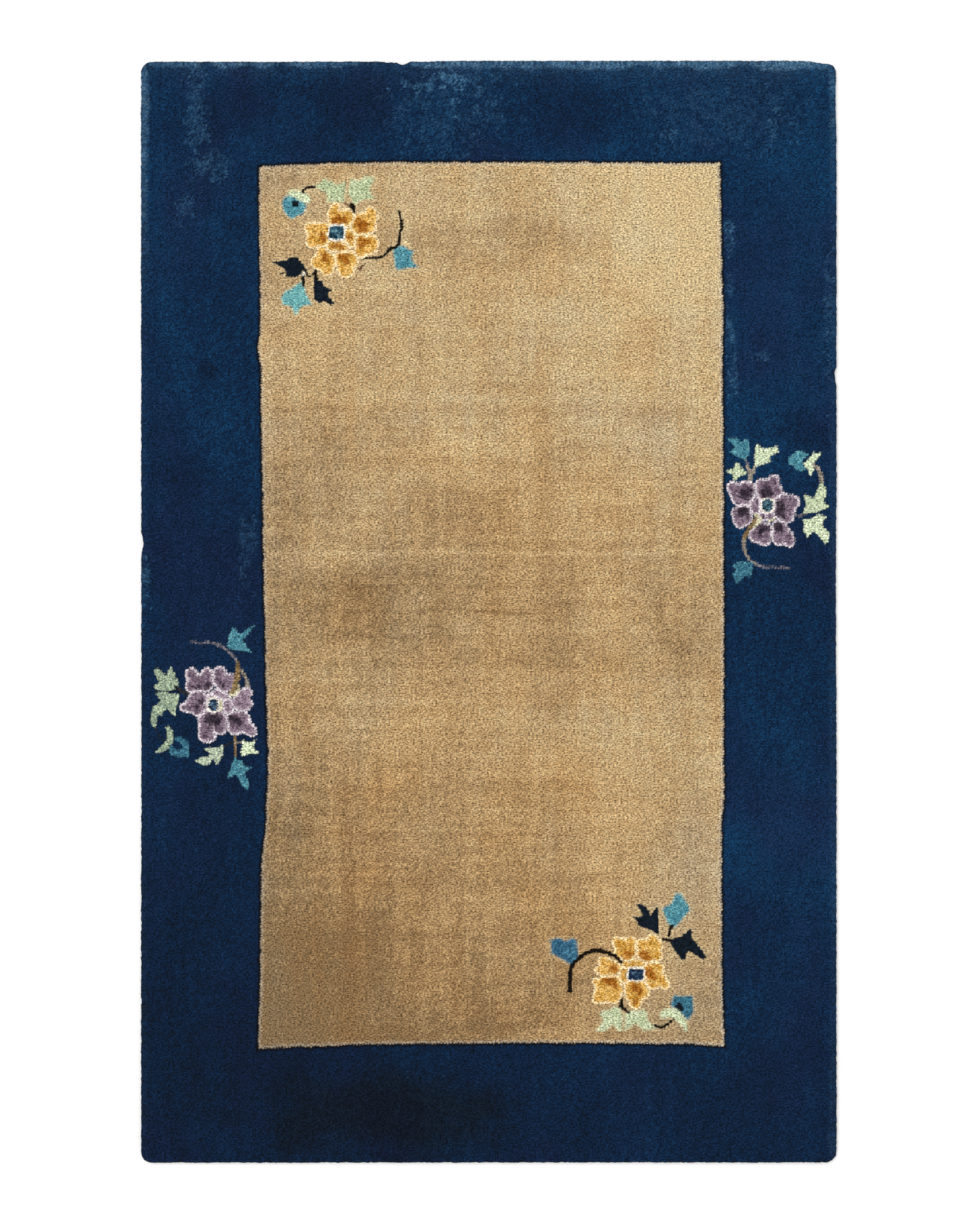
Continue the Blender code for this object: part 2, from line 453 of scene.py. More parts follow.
    def knot_values(self, seed: int) -> np.ndarray:
        """Return one random value, from -1 to 1, for each knot, given to all its points."""
        knots = np.random.default_rng(seed).uniform(-1, 1, (self.across + 1, self.along + 1))
        column = np.arange(self.x.shape[0]) // self.steps
        row = np.arange(self.x.shape[1]) // self.steps
        return knots[np.ix_(column, row)]

    def point_values(self, seed: int) -> np.ndarray:
        """Return one random value, from -1 to 1, for each point."""
        return np.random.default_rng(seed).uniform(-1, 1, self.x.shape)

    def knot_dome(self) -> np.ndarray:
        """Return how far each point is up its own knot, from 0 at the knot's edge to 1 at its middle."""
        column, row = self.arches()
        return column * row

    def edge_scallops(self) -> np.ndarray:
        """Return, from 0 to 1, how far the knots bulge along the nearest side of the field."""
        column, row = self.arches()
        return np.where(self.beside_field, row, column)

    def arches(self) -> tuple[np.ndarray, np.ndarray]:
        """Return an arch from 0 to 1 and back over each knot, across as a column and along as a row."""
        column = np.arange(self.x.shape[0])[:, None] % self.steps / self.steps
        row = np.arange(self.x.shape[1])[None, :] % self.steps / self.steps
        return np.sin(math.pi * column), np.sin(math.pi * row)


# ---------------------------------------------------------------------------------------------------------
# Motifs
# ---------------------------------------------------------------------------------------------------------

Lobe = tuple[float, float, float]
# A distance in mm that is past every point of a spray, and a length that only stops a division by 0.
FAR_MM = 1000.0
NO_LENGTH = 1e-9
# How near to each other a petal's lobes begin to merge, and how far in from its edge the wool is bright.
LOBE_BLEND_MM = 3.0
BRIGHT_RIM_MM = 4.5
# A petal's streaks run out from the flower's middle, spaced by their width at this radius.
STREAK_RADIUS_MM = 26
STREAK_SIZE_MM = (2.4, 13.0)
MOTTLE_SIZE_MM = (3.4, 2.8)


def lobe_distance(x: np.ndarray, y: np.ndarray, lobes: tuple[Lobe, ...], blend: float) -> np.ndarray:
    """Return the distance to rounded lobes grown together, negative inside them.

    Args:
        x: The points' distances across, in mm.
        y: The points' distances along, in mm.
        lobes: Each lobe's middle and radius, in mm.
        blend: How far from each other two lobes begin to merge, in mm.

    Returns:
        The distance at each point, in mm.
    """
    total = np.full(x.shape, FAR_MM)
    for lobe_x, lobe_y, radius in lobes:
        total = merged(total, np.hypot(x - lobe_x, y - lobe_y) - radius, blend)
    return total


def merged(first: np.ndarray, second: np.ndarray, blend: float) -> np.ndarray:
    """Return the distance to two forms as one, with the corner between them filled."""
    near = np.maximum(blend - np.abs(first - second), 0.0) / blend
    return np.minimum(first, second) - near * near * blend / 4


def from_line(x: np.ndarray, y: np.ndarray, start: tuple, end: tuple) -> tuple[np.ndarray, np.ndarray]:
    """Return how far along a straight line the place nearest to each point is, and how far off it lies.

    Args:
        x: The points' distances across.
        y: The points' distances along.
        start: The line's start, across and along.
        end: The line's end.

    Returns:
        The shares of the line's length, from 0 to 1, and the distances.
    """
    run_x, run_y = end[0] - start[0], end[1] - start[1]
    squared = max(run_x * run_x + run_y * run_y, NO_LENGTH)
    share = np.clip(((x - start[0]) * run_x + (y - start[1]) * run_y) / squared, 0, 1)
    return share, np.hypot(x - start[0] - share * run_x, y - start[1] - share * run_y)


@dataclass(frozen=True)
class Petal:
    """One petal: rounded lobes grown together, with a dark stain at its foot.

    Attributes:
        lobes: Each lobe's middle and radius, in mm from the flower's centre.
        stains: Each dark patch's middle and radius.
        plain: Whether it is one of the small inner petals, which have a duller yarn.
    """

    lobes: tuple[Lobe, ...]
    stains: tuple[Lobe, ...] = ()
    plain: bool = False


@dataclass(frozen=True)
class Leaf:
    """A leaf or bud: pointed lobes that spread from a heart, with the leaf full or notched between them.

    Attributes:
        dye: Its yarn.
        heart: The place that its lobes spread from, in mm from the flower's centre.
        tips: Each lobe's end, anticlockwise, and how full the leaf is from it to the next: 1 gives a
            straight edge, less a notch and more a bulge.
    """

    dye: Dye
    heart: tuple[float, float]
    tips: tuple[Lobe, ...]

    def outline(self) -> np.ndarray:
        """Return points along the leaf's outline, from the heart, anticlockwise."""
        steps, roundness = 8, 0.8
        points = []
        for (x0, y0, fullness), (x1, y1, _) in zip(self.tips, self.tips[1:] + self.tips[:1]):
            start = np.array((x0 - self.heart[0], y0 - self.heart[1]))
            end = np.array((x1 - self.heart[0], y1 - self.heart[1]))
            for step in range(steps):
                share = step / steps
                straight = start + (end - start) * share
                points.append(straight * (1 + (fullness - 1) * math.sin(math.pi * share) ** roundness))
        return np.array(points)

    def distance(self, x: np.ndarray, y: np.ndarray) -> np.ndarray:
        """Return the distance to the leaf at each point, negative inside it, in mm."""
        x, y = x - self.heart[0], y - self.heart[1]
        points = self.outline()
        nearest = np.full(x.shape, FAR_MM)
        inside = np.zeros(x.shape, dtype=bool)
        for (x0, y0), (x1, y1) in zip(points, np.roll(points, -1, axis=0)):
            nearest = np.minimum(nearest, from_line(x, y, (x0, y0), (x1, y1))[1])
            crosses = (y0 > y) != (y1 > y)
            inside ^= crosses & (x < x0 + (y - y0) * (x1 - x0) / (y1 - y0 or NO_LENGTH))
        return np.where(inside, -nearest, nearest)


@dataclass(frozen=True)
class Stroke:
    """A stem, tendril or crescent: a line of changing width on one smooth curve.

    Attributes:
        dye: Its yarn.
        rows: Points that it passes through: place across, place along and width, in mm.
    """

    dye: Dye
    rows: tuple[Lobe, ...]

    def distance(self, x: np.ndarray, y: np.ndarray) -> np.ndarray:
        """Return the distance to the stroke at each point, negative inside it, in mm."""
        line = self.smooth_line()
        total = np.full(x.shape, FAR_MM)
        for (x0, y0, width0), (x1, y1, width1) in zip(line, line[1:]):
            share, far = from_line(x, y, (x0, y0), (x1, y1))
            total = np.minimum(total, far - (width0 + (width1 - width0) * share) / 2)
        return total

    def smooth_line(self) -> list[np.ndarray]:
        """Return points along the curve through the rows."""
        rows = [np.array(row, dtype=float) for row in self.rows]
        if len(rows) == 2:
            return rows
        rows = [2 * rows[0] - rows[1], *rows, 2 * rows[-1] - rows[-2]]
        line = []
        steps = 4
        for before, start, end, after in zip(rows, rows[1:], rows[2:], rows[3:]):
            for step in range(steps):
                t = step / steps
                line.append(0.5 * (2 * start + (end - before) * t
                                   + (2 * before - 5 * start + 4 * end - after) * t * t
                                   + (3 * start - before - 3 * end + after) * t ** 3))
        line.append(rows[-2])
        return line


@dataclass(frozen=True)
class Eye:
    """A flower's middle: a small knotted square in a pale ring.

    Attributes:
        dye: The square's yarn.
        half_width: Half its size across, in mm.
        half_height: Half its size along, in mm.
        ring: The ring's width, in mm.
        ring_dye: The ring's yarn.
    """

    dye: Dye
    half_width: float
    half_height: float
    ring: float
    ring_dye: Dye

    def distance(self, x: np.ndarray, y: np.ndarray) -> np.ndarray:
        """Return the distance to the square at each point, negative inside it, in mm."""
        corner = 4.2
        over_x, over_y = np.abs(x) - self.half_width + corner, np.abs(y) - self.half_height + corner
        outside = np.hypot(np.maximum(over_x, 0), np.maximum(over_y, 0))
        return outside + np.minimum(np.maximum(over_x, over_y), 0) - corner


@dataclass
class Canvas:
    """The stretch of pile that a spray is knotted into.

    Attributes:
        x: Where each point takes its colour from, in mm across from the flower's centre.
        y: The same along.
        colour: The pile's linear colours, which the motifs are worked into.
        carving: How deep the pile is clipped away round the motifs, from 0 to 1.
        mottle: Each point's own lighter or darker amount.
        beads: How far each knot pushes a form's edge out, in mm, which gives the edge its small scallops.
        bare: Where the ground is not covered by a form yet, from 0 to 1.
    """

    x: np.ndarray
    y: np.ndarray
    colour: np.ndarray
    carving: np.ndarray
    mottle: np.ndarray
    beads: np.ndarray
    bare: np.ndarray

    def work(self, distance: np.ndarray, dye: Dye, soft: float = 0.7, amount: np.ndarray | float = 0.0,
             clipped: bool = True, share: float = 1.0) -> None:
        """Knot one form into the pile.

        Args:
            distance: The distance to the form at each point, negative inside it, in mm.
            dye: The form's yarn.
            soft: Half the width over which its edge blends, in mm.
            amount: How much lighter or darker the yarn is at each point.
            clipped: Whether the pile is clipped along its edge.
            share: How much of what lies under it is covered.
        """
        groove_width, healed_within = 1.3, 2.0
        distance = distance - self.beads
        cover = share * ease(0.5 - distance / (2 * soft))
        shade = dye.value.shade(self.mottle + amount)
        self.colour += (shade - self.colour) * cover[..., None]
        self.bare *= 1 - cover
        if clipped:
            edge = np.exp(-(distance / groove_width) ** 2)
            self.carving[:] = np.maximum(self.carving * (1 - ease(-distance / healed_within)), edge)

    def pale_surround(self, distance: np.ndarray, dye: Dye, reach: float, share: float) -> None:
        """Lighten the bare ground in a soft ring round a form.

        Args:
            distance: The distance to the form at each point, negative inside it, in mm.
            dye: The lighter colour.
            reach: How far the surround goes, in mm.
            share: How much of the ground it covers at most.
        """
        cover = share * self.bare * ease(1 - distance / reach)
        self.colour += (dye.value.shade(self.mottle) - self.colour) * cover[..., None]


@dataclass(frozen=True)
class Spray:
    """A flower with its stems, leaves and buds.

    Attributes:
        name: The piece's name.
        centre: The flower's centre on the rug, in mm from the middle.
        petals: The flower's petals.
        petal_dye: The petals' yarn.
        plain_dye: The small inner petals' yarn.
        stain_dye: The yarn of the petals' dark patches.
        edge_dye: The yarn that outlines the petals.
        edge: The outline's width, in mm.
        eye: The flower's middle.
        heart: The radius, in mm, within which the outline's yarn fills the gaps between the petals.
        beading: How far a knot on a form's edge bulges out of it, in mm.
        under: What is knotted under the flower: leaves, buds and stems, in order.
        over: What lies over the flower.
    """

    name: str
    centre: tuple[float, float]
    petals: tuple[Petal, ...]
    petal_dye: Dye
    plain_dye: Dye
    stain_dye: Dye
    edge_dye: Dye
    edge: float
    eye: Eye
    heart: float
    beading: float
    under: tuple[Leaf | Stroke, ...]
    over: tuple[Leaf | Stroke, ...] = ()

    def extent(self) -> tuple[float, float, float, float]:
        """Return the spray's lowest and highest places across, then along, in metres on the rug."""
        places = [lobe for petal in self.petals for lobe in petal.lobes]
        places = [(x, y, radius + self.edge) for x, y, radius in places]
        for form in (*self.under, *self.over):
            rows = form.tips if isinstance(form, Leaf) else form.rows
            places += [(x, y, size) for x, y, size in rows]
        low_x = min(x - size for x, _, size in places) + self.centre[0]
        high_x = max(x + size for x, _, size in places) + self.centre[0]
        low_y = min(y - size for _, y, size in places) + self.centre[1]
        high_y = max(y + size for _, y, size in places) + self.centre[1]
        return low_x * MM, high_x * MM, low_y * MM, high_y * MM

    def paint(self, canvas: Canvas, halo: Dye | None) -> None:
        """Knot the whole spray.

        Args:
            canvas: The pile to work it into.
            halo: The colour of the paler ground round the dark forms, or None where the ground has none.
        """
        for form in self.under:
            self.paint_form(canvas, form, halo)
        interiors = [lobe_distance(canvas.x, canvas.y, petal.lobes, LOBE_BLEND_MM) for petal in self.petals]
        from_centre = np.hypot(canvas.x, canvas.y)
        flower = np.minimum.reduce(interiors)
        canvas.work(flower - self.edge, self.edge_dye, soft=0.8)
        canvas.work(from_centre - self.heart, self.edge_dye, soft=0.8, amount=-0.3, clipped=False)
        around = np.arctan2(canvas.y, canvas.x) * STREAK_RADIUS_MM
        streaks = patches(around, from_centre, *STREAK_SIZE_MM, 21)
        mottling = patches(canvas.x, canvas.y, *MOTTLE_SIZE_MM, 22)
        for index, (petal, interior) in enumerate(zip(self.petals, interiors)):
            dye = self.plain_dye if petal.plain else self.petal_dye
            others = np.minimum.reduce(interiors[:index] + interiors[index + 1:])
            interior = np.maximum(interior - 0.5, (interior - others + self.edge) / 2)
            canvas.work(interior, dye, amount=0.4, clipped=False, share=0.9)
            bright_rim = 0.45 * ease(1 + interior / BRIGHT_RIM_MM)
            uneven = 0.55 * streaks + 0.65 * mottling
            canvas.work(interior + 1.4, dye, soft=1.4, amount=uneven + bright_rim, clipped=False)
            self.stain(canvas, petal, interior, streaks, mottling)
        eye = self.eye.distance(canvas.x, canvas.y)
        canvas.work(eye - self.eye.ring, self.eye.ring_dye)
        canvas.work(eye, self.eye.dye, amount=0.9 * patches(canvas.x, canvas.y, 2.6, 2.6, 23))
        for form in self.over:
            self.paint_form(canvas, form, None)

    def stain(self, canvas: Canvas, petal: Petal, interior: np.ndarray, streaks: np.ndarray,
              mottling: np.ndarray) -> None:
        """Knot a petal's dark patches.

        Args:
            canvas: The pile to work them into.
            petal: The petal.
            interior: The distance to the petal at each point, negative inside it, in mm.
            streaks: Soft patches that run out from the flower's middle.
            mottling: Soft patches of the wool.
        """
        ragged = 1.6 * streaks + 1.2 * mottling
        for stain_x, stain_y, radius in petal.stains:
            stain = np.hypot(canvas.x - stain_x, canvas.y - stain_y) - radius + ragged
            canvas.work(np.maximum(stain, interior + 0.8), self.stain_dye, soft=2.4,
                        amount=0.5 * streaks + 0.3 * mottling, clipped=False, share=0.92)

    @staticmethod
    def paint_form(canvas: Canvas, form: Leaf | Stroke, halo: Dye | None) -> None:
        """Knot one leaf, bud or stem, with its paler surround."""
        distance = form.distance(canvas.x, canvas.y)
        crisp, felted, leaf_rim = 0.7, 2.4, 2.2
        if halo:
            canvas.pale_surround(distance, halo, reach=5.0, share=0.38)
        dark = form.dye in (Dye.INK, Dye.SOOT, Dye.UMBER)
        mottling = patches(canvas.x, canvas.y, 3.0, 2.6, 24)
        bright_rim = ease(1 + (distance - canvas.beads) / leaf_rim) if isinstance(form, Leaf) else 0.0
        canvas.work(distance, form.dye, soft=felted if halo and not dark else crisp,
                    amount=0.55 * mottling + 0.4 * bright_rim - 0.1)


# The gold spray in the top left corner of the field.
TOP_LEFT = Spray(
    name="spray_top_left",
    centre=(-199.7, 497.9),
    petals=(
        Petal(((-2, 18, 7.5), (-4.5, 25, 5.5), (-2, 31, 4.4), (-0.5, 36, 1.6), (5, 20, 8), (12.5, 19, 8.5),
               (14.5, 24.5, 4.5)), ((2, 15.5, 6.5), (9, 16.5, 5.5), (-3, 15, 4))),
        Petal(((30, 8, 9), (33, 15, 9), (42, 9, 8), (44, 19, 7.5), (46.5, 26, 4.8), (42.5, 28.5, 2.6),
               (38, 4, 5)), ((31, 12, 8), (34, 5, 7), (38, 10, 4))),
        Petal(((34, -13, 8.5), (46, -12, 7), (50, -14, 3.5), (38, -19, 8), (46, -20.5, 5.5), (30, -25, 5),
               (33, -27.5, 3), (28, -12, 4)), ((33, -13, 7.5), (40, -11, 4))),
        Petal(((-31.5, 4, 7.5), (-36, 7, 3.6), (-19, 4.5, 7.5), (-30, -10, 8), (-19, -9, 7.5), (-33, -15, 3)),
              ((-18.5, -2, 4.2), (-16.5, -8, 4.6))),
        Petal(((-17, -36, 10.5), (-19, -25, 5), (-24, -39, 7), (-13, -46, 8), (-9, -36, 7), (-28, -38, 3.5)),
              ((-15.5, -31, 5.5), (-14, -36, 3.5))),
        Petal(((7, -35, 8.5), (16.5, -36, 9.5), (12, -46, 9.5), (11.5, -52, 5.5)),
              ((10, -32, 6.5), (13.5, -38, 4.5))),
        Petal(((16.5, -2, 5), (18.5, -8, 5.5), (21, -13.5, 4)), ((17, -7, 4),), plain=True),
        Petal(((-7, -17.5, 5), (3, -18, 5.5), (9.5, -20.5, 4)), ((-3, -17, 5), (5, -18, 3.5)), plain=True),
    ),
    petal_dye=Dye.GOLD,
    plain_dye=Dye.TAN_GOLD,
    stain_dye=Dye.AMBER,
    edge_dye=Dye.CREAM,
    edge=2.8,
    eye=Eye(Dye.EYE_BLUE, 9.6, 8.8, 2.0, Dye.WHITE),
    heart=17.0,
    beading=0.8,
    under=(
        Leaf(Dye.PALE_GREEN, (-2, 54),
             ((11, 66.5, 0.68), (-6, 67.2, 1), (-16.5, 70.5, 0.95), (-29.5, 61, 0.62), (-13.5, 40.5, 0.92),
              (8.5, 39.8, 1.12))),
        Leaf(Dye.PALE_GREEN, (31, 57),
             ((51, 72.5, 1), (37, 73.5, 0.7), (19, 71.5, 1), (15.2, 52, 1),
              (24, 36.3, 0.82), (49.5, 43.5, 0.66))),
        Stroke(Dye.SOOT, ((20.4, 35.6, 7.6), (22.2, 31, 5.6), (23.4, 27.2, 3))),
        Stroke(Dye.UMBER, ((11, 40, 2.6), (17, 34, 2.6))),
        Leaf(Dye.TURQUOISE, (-57, 34),
             ((-40.8, 31, 1.05), (-42, 42, 1.05), (-60, 50, 1), (-69, 46, 1), (-72, 38, 1), (-68, 25.5, 1.05),
              (-58, 18.5, 0.98), (-46, 23.5, 1.05))),
        Stroke(Dye.PALE_CAP, ((-60.5, 52, 6), (-52, 50, 10.5), (-43, 46, 12), (-38.5, 43, 8))),
        Stroke(Dye.INK, ((-54.6, 38.2, 8.2), (-54, 37.6, 8.4))),
        Stroke(Dye.SOOT, ((-45, 53.5, 3.4), (-39.5, 58.7, 3.2), (-30, 59.8, 3.4))),
        Leaf(Dye.INK, (-55, -46),
             ((-38.5, -48.5, 0.98), (-52, -33, 1), (-60.5, -32, 0.8), (-86, -38.6, 0.66), (-67, -57.5, 0.97),
              (-55, -58.5, 1), (-50, -57, 0.88))),
        Stroke(Dye.SOOT, ((-74, -53.2, 2.6), (-69, -52.6, 3))),
        Stroke(Dye.SOOT, ((-42, -49.5, 3.6), (-37.6, -56.2, 3.2), (-31, -54.5, 3), (-27, -50, 4))),
        Stroke(Dye.SOOT, ((-27, -49.5, 5), (-27, -63, 6))),
        Leaf(Dye.INK, (-21, -77),
             ((-4.5, -75, 0.74), (-19, -63, 1), (-29, -62, 1), (-31.5, -71, 0.95), (-30.5, -87.5, 0.96),
              (-22, -94, 0.74), (-8, -96, 1), (-2.5, -93, 0.56))),
        Leaf(Dye.PALE_TURQUOISE, (-53, -84),
             ((-39, -80, 1), (-45.5, -65, 1), (-51, -66.5, 0.92), (-68, -78, 1), (-73.5, -86.5, 1),
              (-70, -94.5, 0.8), (-54, -108, 0.74), (-32, -94.5, 0.95))),
        Stroke(Dye.SOOT, ((-44.3, -56, 5), (-43.8, -68.5, 4.2))),
        Stroke(Dye.WHITE, ((-44.8, -54.6, 3), (-43, -53.4, 2.6))),
        Leaf(Dye.TURQUOISE, (85, -31),
             ((101.5, -25, 1), (86, -16.3, 1), (79, -17.3, 1), (74, -24, 1), (77, -46, 1), (82, -49.2, 0.92),
              (107.5, -46, 0.68))),
        Stroke(Dye.CREAM, ((89, -13.5, 2.6), (94.5, -18, 3.2))),
        Stroke(Dye.SOOT, ((32, -33.8, 3.4), (42, -34, 3.6), (57, -32.6, 3.4), (64, -28.6, 3.6), (70, -22, 4.6),
                          (79.5, -17.5, 4.2), (83, -5, 3.8), (85, 8, 4), (84.6, 20, 4), (81, 29, 3.4))),
        Stroke(Dye.UMBER, ((29.6, -47.4, 4.6), (33, -44.4, 3), (38, -40.8, 2))),
        Stroke(Dye.UMBER, ((80, -72, 2), (80.3, -72.6, 2))),
    ),
)

# The gold spray in the bottom right corner of the field, much the same turned round.
BOTTOM_RIGHT = Spray(
    name="spray_bottom_right",
    centre=(193.2, -475.8),
    petals=(
        Petal(((-13, 33, 10), (-21, 40, 6.5), (-25.5, 43.5, 3), (-7, 42, 5.8), (-11.5, 24, 6), (-21, 29, 5.5),
               (-5, 30, 5)), ((-10, 24.5, 6.5), (-12, 28, 3.5))),
        Petal(((10, 37, 7), (8.5, 40.5, 4), (22.5, 40, 7.5), (21.5, 47.5, 3.6), (27, 37, 6), (12, 27, 8),
               (24, 28, 8), (28.5, 24, 4), (16, 22, 5)), ((11, 25, 6.5), (16, 20.5, 5), (8, 20, 4))),
        Petal(((20, 4, 9.5), (27.5, 7, 7), (25, -6, 9.5), (33, -8, 7), (38.5, -14, 4), (22, -12, 6)),
              ((16.5, 4, 6), (20, -1, 6), (24, -5, 3.5))),
        Petal(((-39, 14, 6.5), (-43, 17.5, 3.6), (-48, 6.5, 3.5), (-43, 4, 5), (-33, 8, 8.5), (-27, 7, 6)),
              ((-29, 9, 5.5), (-26.5, 5, 4.5), (-34, 6, 3))),
        Petal(((-40, -14, 9.5), (-30, -12, 8.5), (-47, -15, 5), (-52.5, -10, 2.4), (-45, -28, 9),
               (-30, -28, 9), (-51, -33, 3.6), (-22, -20, 4)),
              ((-33, -9, 7.5), (-39, -7.5, 4.5), (-29, -15, 4.5))),
        Petal(((-5, -18, 8.5), (6, -19, 8.5), (0, -28, 9), (12, -24.5, 4.6), (0, -38, 6), (-7, -27, 5)),
              ((-1, -16, 6.5), (3.5, -21.5, 4.5), (-1, -36.5, 4))),
        Petal(((-13, 12.5, 4.5), (-4, 14, 4.5), (5, 13.5, 4)), plain=True),
        Petal(((-16, 4, 4.8), (-15.5, -5, 4.8)), plain=True),
    ),
    petal_dye=Dye.GOLD,
    plain_dye=Dye.TAN_GOLD,
    stain_dye=Dye.AMBER,
    edge_dye=Dye.CREAM,
    edge=2.8,
    eye=Eye(Dye.EYE_NAVY, 9.8, 7.9, 2.0, Dye.WHITE),
    heart=17.0,
    beading=0.8,
    under=(
        Leaf(Dye.BLUE, (-91, 31),
             ((-75, 20, 1), (-78, 45, 1), (-85, 47.5, 0.78), (-100, 47.5, 1), (-113, 45.5, 0.95),
              (-111.5, 28, 1),
              (-85, 12.5, 1))),
        Leaf(Dye.INK, (19, 70),
             ((30.5, 66, 1), (29.4, 84, 1), (26.6, 89, 0.44), (15, 88.5, 1), (4, 93, 1), (0.5, 91.5, 0.52),
              (-4, 74.8, 0.95), (4, 63.8, 1), (24, 55.5, 1), (30.6, 50, 1))),
        Leaf(Dye.TURQUOISE, (53, 82),
             ((72, 84, 1.04), (60, 105, 1), (53, 107, 0.72), (34.5, 86.5, 1), (41.5, 67, 1), (51, 61, 1))),
        Stroke(Dye.SOOT, ((46.6, 62.6, 6.2), (45, 56, 3.8), (43.2, 50, 4))),
        Leaf(Dye.INK, (62, 41),
             ((93, 23, 1.02), (76, 46, 0.9), (75, 57, 1), (70, 59.6, 0.86), (54, 47.6, 1), (44, 46.5, 1),
              (48, 34.5, 1),
              (59.5, 19.5, 1), (64.6, 19.6, 0.5), (88, 19, 1))),
        Stroke(Dye.SOOT, ((35, 45.3, 3), (46, 44.5, 5))),
        Leaf(Dye.CAP_GREEN, (-30, -57),
             ((-17.6, -55, 1), (-21.5, -44, 1), (-28, -42.5, 0.86), (-43, -48, 1), (-47, -53, 0.64),
              (-52, -74, 1), (-46, -80, 0.42), (-18, -79, 1))),
        Leaf(Dye.CAP_GREEN, (-1, -59),
             ((15, -53, 1), (11, -47, 1), (-9, -48.5, 1), (-13.5, -53, 1), (-14.5, -74, 0.4), (13, -74.5, 1),
              (27.5, -71, 0.74))),
        Stroke(Dye.SOOT, ((25.8, -68.3, 4.4), (35, -69, 4.2), (42, -65.6, 4), (50.5, -58.5, 3))),
        Leaf(Dye.TEAL, (62, -42),
             ((76, -50, 1), (74.5, -28, 0.97), (50, -28, 1), (45.4, -41, 1), (55, -50, 1), (68, -60, 1))),
        Stroke(Dye.INK, ((57.4, -40.8, 8), (57, -44.5, 8))),
        Stroke(Dye.INK, ((54, -42.6, 5), (60.5, -45.6, 6))),
        Stroke(Dye.PALE_CAP, ((36, -53, 9), (43, -51.4, 11), (50, -51.6, 11), (57, -56.4, 10.5), (62, -64, 8.5),
                              (65.4, -72.5, 4))),
    ),
    over=(
        Stroke(Dye.SOOT, ((-19.5, 15.4, 3.6), (-28, 24, 5.2), (-39.6, 29, 5.4), (-55, 30.6, 5.4),
                          (-67, 26.4, 5.4),
                          (-76, 19.4, 5.6), (-84, 11.4, 5.8), (-86, 1, 6), (-86.5, -22, 6.6))),
        Stroke(Dye.SOOT, ((-18, -33, 4.8), (-18.8, -42, 5.4), (-16, -45, 5), (-9, -50, 4))),
        Stroke(Dye.SOOT, ((-22.6, -43.8, 2.6), (-17, -44, 3.6))),
    ),
)

